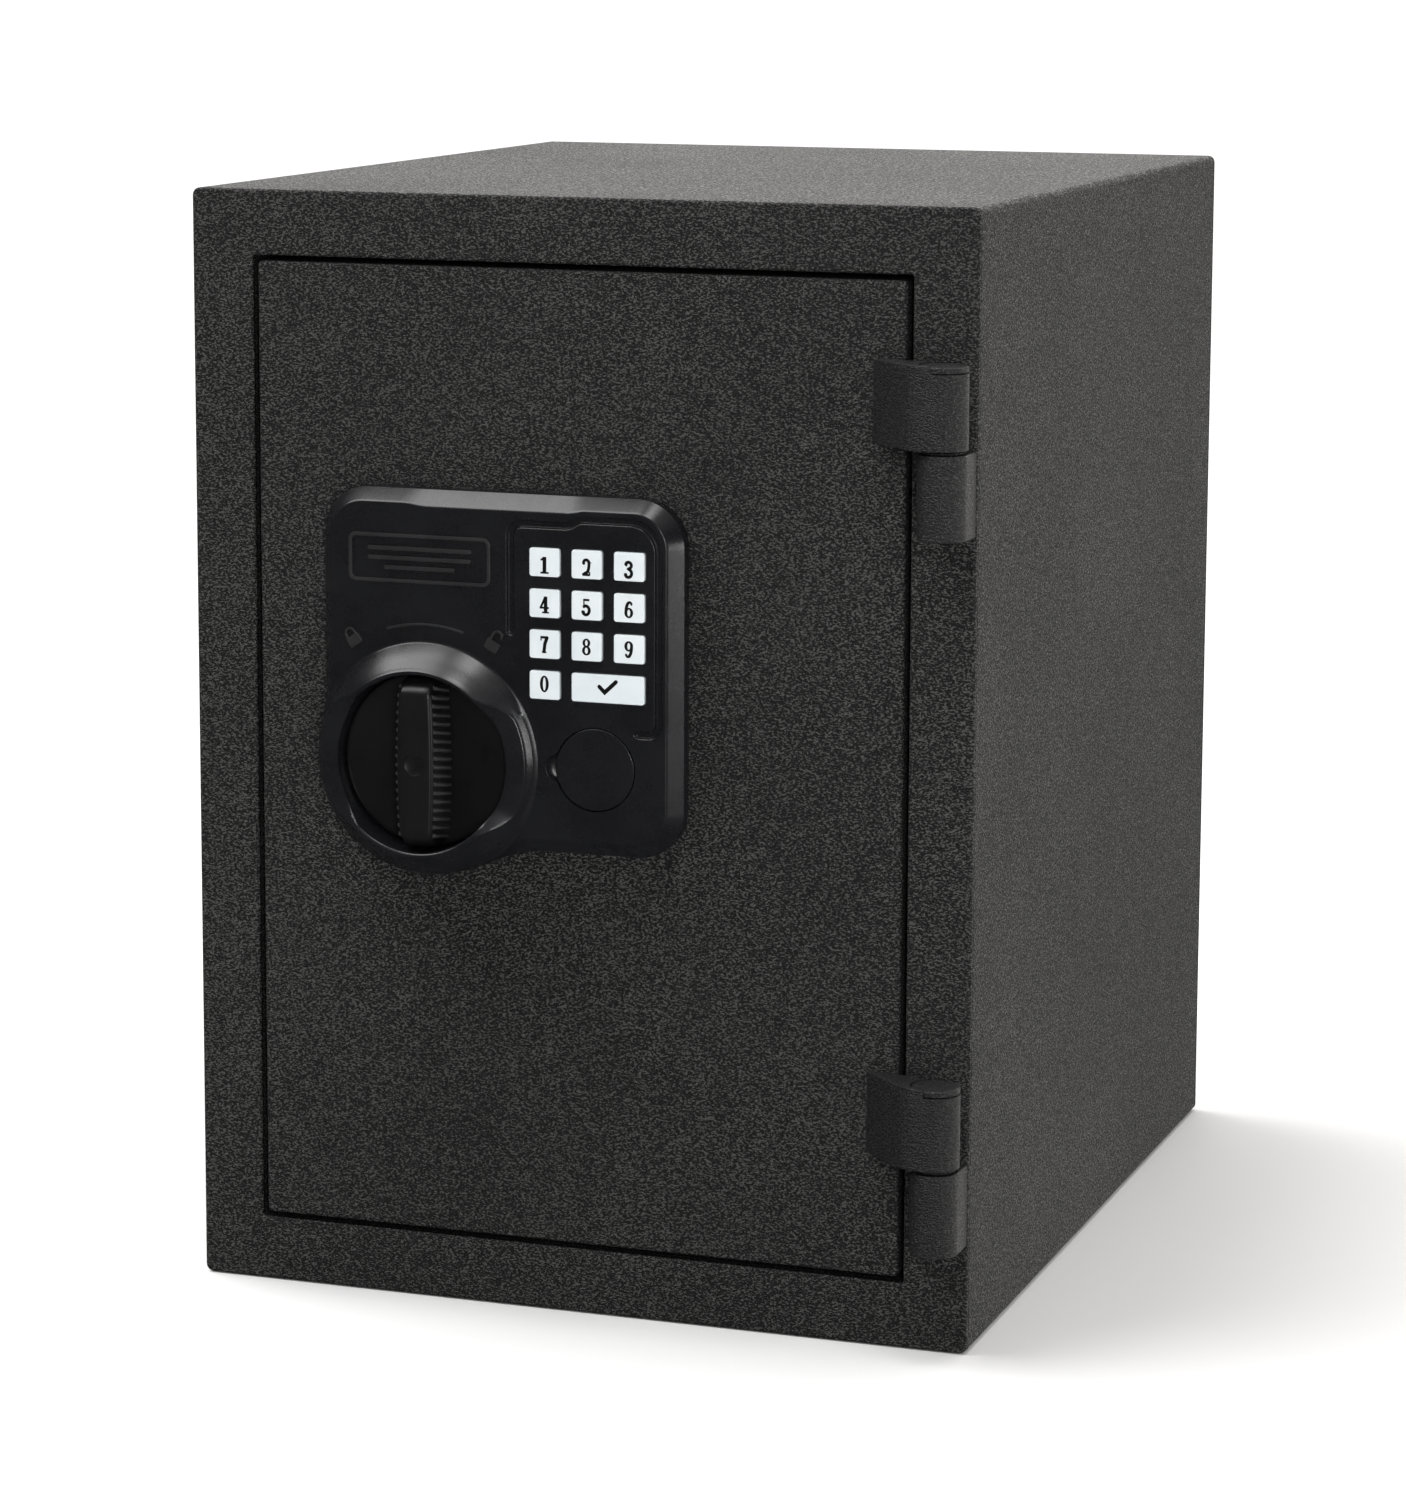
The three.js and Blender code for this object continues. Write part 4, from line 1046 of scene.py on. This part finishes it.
SIX = [hoop(0, -1.25, 1.8, 2.05, 1.2, 0.7), stroke(bowl(0.5, -0.9, 1.65, 3.9, 180, 112)),
       stroke(bowl(0.4, 1.9, 0.7, 1.0, 120, 10, 6), 0.9)]
DIGITS = {
    "key_0": [hoop(0, 0, 1.85, 3.3, 1.25, 0.7)],
    "key_1": [bar(-0.65, 0.9, -3.2, 3.3), bar(-1.6, 1.85, -3.3, -2.6),
              stroke([(-0.2, 2.9), (-1.2, 2.1)], 0.75)],
    "key_2": [stroke([(-1.15, 1.75)] + bowl(-0.05, 1.75, 1.15, 1.2, 165, 0)
                     + bowl(-0.35, 1.75, 1.45, 4.2, 0, -55, 8) + [(-1.2, -2.7)]),
              bar(-1.6, 1.5, -3.3, -2.45), bar(1.05, 1.6, -3.1, -1.7), dot(-1.1, 1.65, 0.62, 0.55)],
    "key_3": [stroke(bowl(-0.15, 1.7, 1.2, 1.25, 160, -80)),
              stroke(bowl(-0.2, -1.4, 1.35, 1.55, 80, -160)),
              dot(-1.1, 1.9, 0.58, 0.5), dot(-1.25, -1.9, 0.6, 0.52),
              stroke([(-0.5, 0.3), (0.3, 0.3)], THIN)],
    "key_4": [bar(-0.15, 1.3, -3.2, 3.3), bar(-0.9, 1.95, -3.3, -2.65), bar(-1.9, 1.9, -1.5, -0.75),
              stroke([(0.4, 3.0), (-1.45, -1.05)], THIN)],
    "key_5": [bar(-1.2, 1.25, 2.45, 3.3), bar(-1.3, -0.75, 0.0, 3.2),
              stroke(bowl(-0.2, -1.2, 1.4, 1.75, 125, -160)), dot(-1.15, -1.9, 0.6, 0.52)],
    "key_6": SIX,
    "key_7": [bar(-1.6, 1.6, 2.35, 3.3), bar(-1.6, -1.1, 1.5, 3.0),
              stroke([(1.15, 2.7), (0.25, 0.3), (-0.1, -2.8)], 1.35), bar(-1.0, 0.95, -3.3, -2.75)],
    "key_8": [hoop(0, 1.6, 1.6, 1.7, 1.05, 0.6), hoop(0, -1.45, 1.8, 1.85, 1.15, 0.65)],
    "key_9": turned_over(SIX),
    "key_enter": [stroke([(-3.4, 0.3), (-1.2, -1.9), (3.5, 2.5)], 1.6)],
}


def keys():
    first_row, last_row = middle_of("key_1").z, middle_of("key_0").z
    for name in KEYS:
        low, centre = box_of(name)[0], middle_of(name)
        cap = Shape().slab(key_outline(name), low.y, FRONT - 7.0, 0.45, 0.1)
        make(name + "_cap", cap, KEY, name, [name])
        nudge = 0.5 - 1.6 * (centre.z - last_row) / (first_row - last_row)
        mark = Shape()
        for k, part in enumerate(DIGITS[name]):
            outline, *holes = [[(centre.x + x, centre.z + nudge + z) for x, z in loop] for loop in part]
            level = low.y - 0.05 - 0.004 * k
            mark.slab(drawn(outline), level, low.y + 0.1, 0, holes=[drawn(hole) for hole in holes])
        make(name + "_mark", mark, INK, name)


# ---- hinges

def hinges():
    for level in ("lower", "upper"):
        pin_low, pin_high = box_of("hinge_pin_" + level)
        axis = (pin_low + pin_high) / 2
        radius = 9.6
        knuckle_low, knuckle_high = box_of("hinge_knuckle_" + level)
        leaf_low, leaf_high = box_of("hinge_leaf_" + level)
        back = leaf_high.y

        def round_axis(points):
            """The outline function of a loop measured from the hinge's axis, turned anticlockwise."""
            area = sum(a[0] * b[1] - b[0] * a[1] for a, b in zip(points, points[1:] + points[:1]))
            return drawn([(axis.x + u, axis.y + v) for u, v in (points if area > 0 else points[::-1])])

        foot = [(radius, back - axis.y), (-radius, back - axis.y)]
        foot += arc(0, 0, radius, 180, 360, 24)
        knuckle = Shape().slab(round_axis(foot), knuckle_low.z, knuckle_high.z, 0.6, 0.6, lying)
        make("hinge_foot_" + level, knuckle, HINGE, "cabinet", ["hinge_knuckle_" + level])

        lap = back - axis.y
        wing = [(-30.9, lap), (-31.0, lap - 0.9), (-30.4, lap - 1.9), (-29.0, lap - 2.9)]
        wing += [(-13.0, -5.9), (-11.0, -7.4), (-8.6, -8.7), (-5.6, -9.35), (-2.8, -9.57)]
        wing += arc(0, 0, radius, 270, 495, 36)
        wing += [(-12.0, lap - 1.6), (-19.0, lap - 1.5), (-19.3, lap)]
        top = leaf_high.z
        leaf = Shape().slab(round_axis(wing), leaf_low.z, top, 0.5, 0.5, lying)
        seat = Shape().slab(circle(axis.x, axis.y, radius + 0.25, 64), top - 3.2, top + 1, 0, 0, lying)
        leaf = carve(leaf, seat)
        make("hinge_plate_" + level, leaf, HINGE, "door", ["hinge_leaf_" + level])

        place = about_z(axis)
        under = top - 3.0
        profile = [(3.9, pin_low.z), (3.9, under), (radius - 0.5, under), (radius - 0.1, under + 0.4),
                   (radius - 0.1, top - 0.9), (radius - 0.5, top - 0.45), (radius - 1.2, top - 0.3)]
        head = Shape().lathe(profile, place, 48)
        make("hinge_pin_head_" + level, head, HINGE, "cabinet", ["hinge_pin_" + level])

        ring_low, ring_high = box_of("hinge_washer_" + level)
        rim = radius - 1.6
        profile = [(4.3, ring_low.z), (rim - 0.3, ring_low.z), (rim, ring_low.z + 0.2),
                   (rim, ring_high.z - 0.2), (rim - 0.3, ring_high.z), (4.3, ring_high.z)]
        ring = tube(profile, place)
        make("hinge_ring_" + level, ring, HINGE, "cabinet", ["hinge_washer_" + level])


# ---- inside of the cabinet

def liner():
    low, high = box_of("inner_liner")
    room_x = 118.3
    room_z = (44.2, 400.8)
    flange = rounded_box(low, high, 1.0, 5)
    room = rounded(-room_x, room_x, *room_z, 7.0, 5)
    back = high.y - 2.5
    rings = loops(flange, (0, low.y + 2.5), (0, low.y))
    rings += loops(room, (-1.2, low.y), (-0.4, low.y + 0.35), (0, low.y + 1.2), (0, back - 6.0),
                   (0.8, back - 3.0), (2.5, back - 0.9), (5.5, back))
    shape = Shape()
    made = shape.stack(rings)
    shape.fill([made[-1]], [room(5.5)])
    outer = shape.stack(loops(room, (-2.5, low.y + 2.5), (-2.5, high.y)))
    shape.join(made[0], outer[0])
    shape.fill([outer[-1]], [room(-2.5)])
    make("room_liner", shape, LINER, "cabinet", ["inner_liner"])


def shelf():
    low, high = box_of("shelf")
    side = [(low.y, low.z), (low.y + 2.0, low.z), (low.y + 2.0, high.z - 3.6), (low.y + 2.6, high.z - 3.0),
            (high.y, high.z - 3.0), (high.y, high.z), (low.y + 1.6, high.z), (low.y + 0.5, high.z - 0.5),
            (low.y, high.z - 1.6)]
    tray = Shape().slab(drawn(side), low.x, high.x, 0.4, 0.4, lambda y, z, x: Vector((x, y, z)))
    make("shelf_tray", tray, CABINET, "shelf", ["shelf"])


def floor_carpet():
    low, high = box_of("floor_mat")
    mat = Shape().slab(rounded(low.x, high.x, low.y, high.y, 6.0, 5), high.z, low.z, 1.0, 0.2, lying)
    make("floor_carpet", mat, CARPET, "cabinet", ["floor_mat"])


def seal_strip():
    low, high = box_of("door_seal")
    outer = rounded_box(low, high, 2.0, 4)
    inner = rounded_box(low, high, 2.0, 4, -6.7)
    shape = Shape()
    rings = loops(outer, (0, high.y), (0, low.y + 1.0), (0.4, low.y + 0.3), (1.2, low.y))
    rings += loops(inner, (-1.2, low.y), (-0.4, low.y + 0.3), (0, low.y + 1.0), (0, high.y))
    shape.stack(rings, closed=True)
    make("heat_seal", shape, SEAL, "cabinet", ["door_seal"])


def eased_nodes():
    """CAD pieces that stay as they are get their material and slightly rounded edges."""
    finishes = {
        LINER: ["shelf_rail_left", "shelf_rail_right", "battery_box"],
        BOARD: ["cabinet_insulation", "door_insulation"],
        STEEL: ["bolt_channel_left", "bolt_channel_right", "knob_spindle", "cam_disc", "bolt_carriage",
                "solenoid", "bolt_guide_plate", "fixed_bolt_bracket"],
        CHROME: ["solenoid_plunger"],
        CIRCUIT: ["keypad_board", "control_board"],
        RUBBER: ["keypad_mat"],
        KEY: ["spindle_bushing"],
    }
    for material, names in finishes.items():
        for name in names:
            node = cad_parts[name]
            node.data.materials.clear()
            node.data.materials.append(material)
            bevel = node.modifiers.new("eased_edges", "BEVEL")
            bevel.width = 0.3 * MM
            bevel.segments = 2
            bevel.limit_method = "ANGLE"
            bevel.angle_limit = radians(40)


for build in (door_panel, inner_cover, battery_cover, batteries, bolts, lock_bezel, collar, face_marks,
              port_cover, key_lock, turn_knob, keys, hinges, liner, shelf, floor_carpet, seal_strip,
              eased_nodes):
    build()


# ---- stage, lights, camera

def stage():
    floor = bpy.data.meshes.new("floor")
    size = 40.0
    corners = [(-size, -size, 0), (size, -size, 0), (size, size, 0), (-size, size, 0)]
    floor.from_pydata(corners, [], [(0, 1, 2, 3)])
    ground = add_object("floor", floor)
    pale = Paint("pale_floor", 0.9, specular=0.1)
    pale.shader.inputs["Base Color"].default_value = (0.97, 0.97, 0.97, 1)
    floor.materials.append(pale.material)
    gap = 0.0003
    ground.location.z = BODY_LOW.z * MM - gap
    ground.visible_glossy = False


def aim_light(data, name, place, aim, power):
    data.energy = power
    light = add_object(name, data)
    light.location = place
    light.rotation_euler = (Vector(aim) - Vector(place)).to_track_quat("-Z", "Y").to_euler()


def soft_box(name, place, aim, size, power):
    data = bpy.data.lights.new(name, "AREA")
    data.shape = "RECTANGLE"
    data.size, data.size_y = size
    aim_light(data, name, place, aim, power)


def far_light(name, place, aim, power, spread):
    """Parallel light, softened as if from a source that is this many degrees across."""
    data = bpy.data.lights.new(name, "SUN")
    data.angle = radians(spread)
    aim_light(data, name, place, aim, power)


def studio():
    """A dark room in front, a bright wall behind to the right, and a bright ceiling."""
    world = bpy.data.worlds.new("studio")
    bpy.context.scene.world = world
    world.use_nodes = True
    nodes = world.node_tree.nodes
    direction = nodes.new("ShaderNodeTexCoord").outputs["Generated"]

    def glow(toward, start, end, amount):
        """Brightness that rises as the direction comes near to the way that toward points."""
        along = nodes.new("ShaderNodeVectorMath")
        along.operation = "DOT_PRODUCT"
        near = wire(along, {1: Vector(toward).normalized()}, {0: direction})["Value"]
        rise = nodes.new("ShaderNodeMapRange")
        rise.interpolation_type = "SMOOTHSTEP"
        return wire(rise, {"From Min": start, "From Max": end, "To Max": amount}, {"Value": near})["Result"]

    everywhere = glow((0, 1, 0), -2.0, -1.5, 0.05)
    wall = glow((0.45, 0.9, 0.0), 0.25, 0.75, 0.62)
    corner = glow((-0.3, 0.9, 0.3), 0.8, 0.97, 2.0)
    ceiling = glow((0, 0, 1), 0.45, 0.85, 0.42)
    wire(nodes["Background"], {"Color": (1.0, 0.982, 0.955, 1)},
         {"Strength": added(nodes, (everywhere, wall, corner, ceiling))})


def camera():
    data = bpy.data.cameras.new("camera")
    data.lens = 109.37
    data.sensor_width = 36
    data.shift_y = -0.1
    data.clip_end = 200
    eye = add_object("camera", data)
    forward = Vector((-0.3254, 0.9335, -0.1505)).normalized()
    right = Vector((0.9441, 0.3296, 0.0037))
    right = (right - forward * right.dot(forward)).normalized()
    up = right.cross(forward)
    turn = Matrix((right, up, -forward)).transposed().to_4x4()
    stand = (0.6265, -1.840, 0.556)
    eye.matrix_world = Matrix.Translation(stand) @ turn
    bpy.context.scene.camera = eye


stage()
far_light("key", (-1.0, -0.12, 1.9), (0, 0, 0), 2.4, 44)
soft_box("overhead", (0.35, -0.4, 2.2), (0, -0.2, 0.3), (0.5, 0.5), 8)
soft_box("right_strip", (2.2, -0.25, 0.7), (0, -0.2, 0.3), (0.25, 1.4), 12)
soft_box("right_front", (0.95, -2.0, 0.55), (0, -0.2, 0.3), (0.15, 0.9), 12)
studio()
camera()
bpy.context.scene.view_settings.view_transform = "Standard"
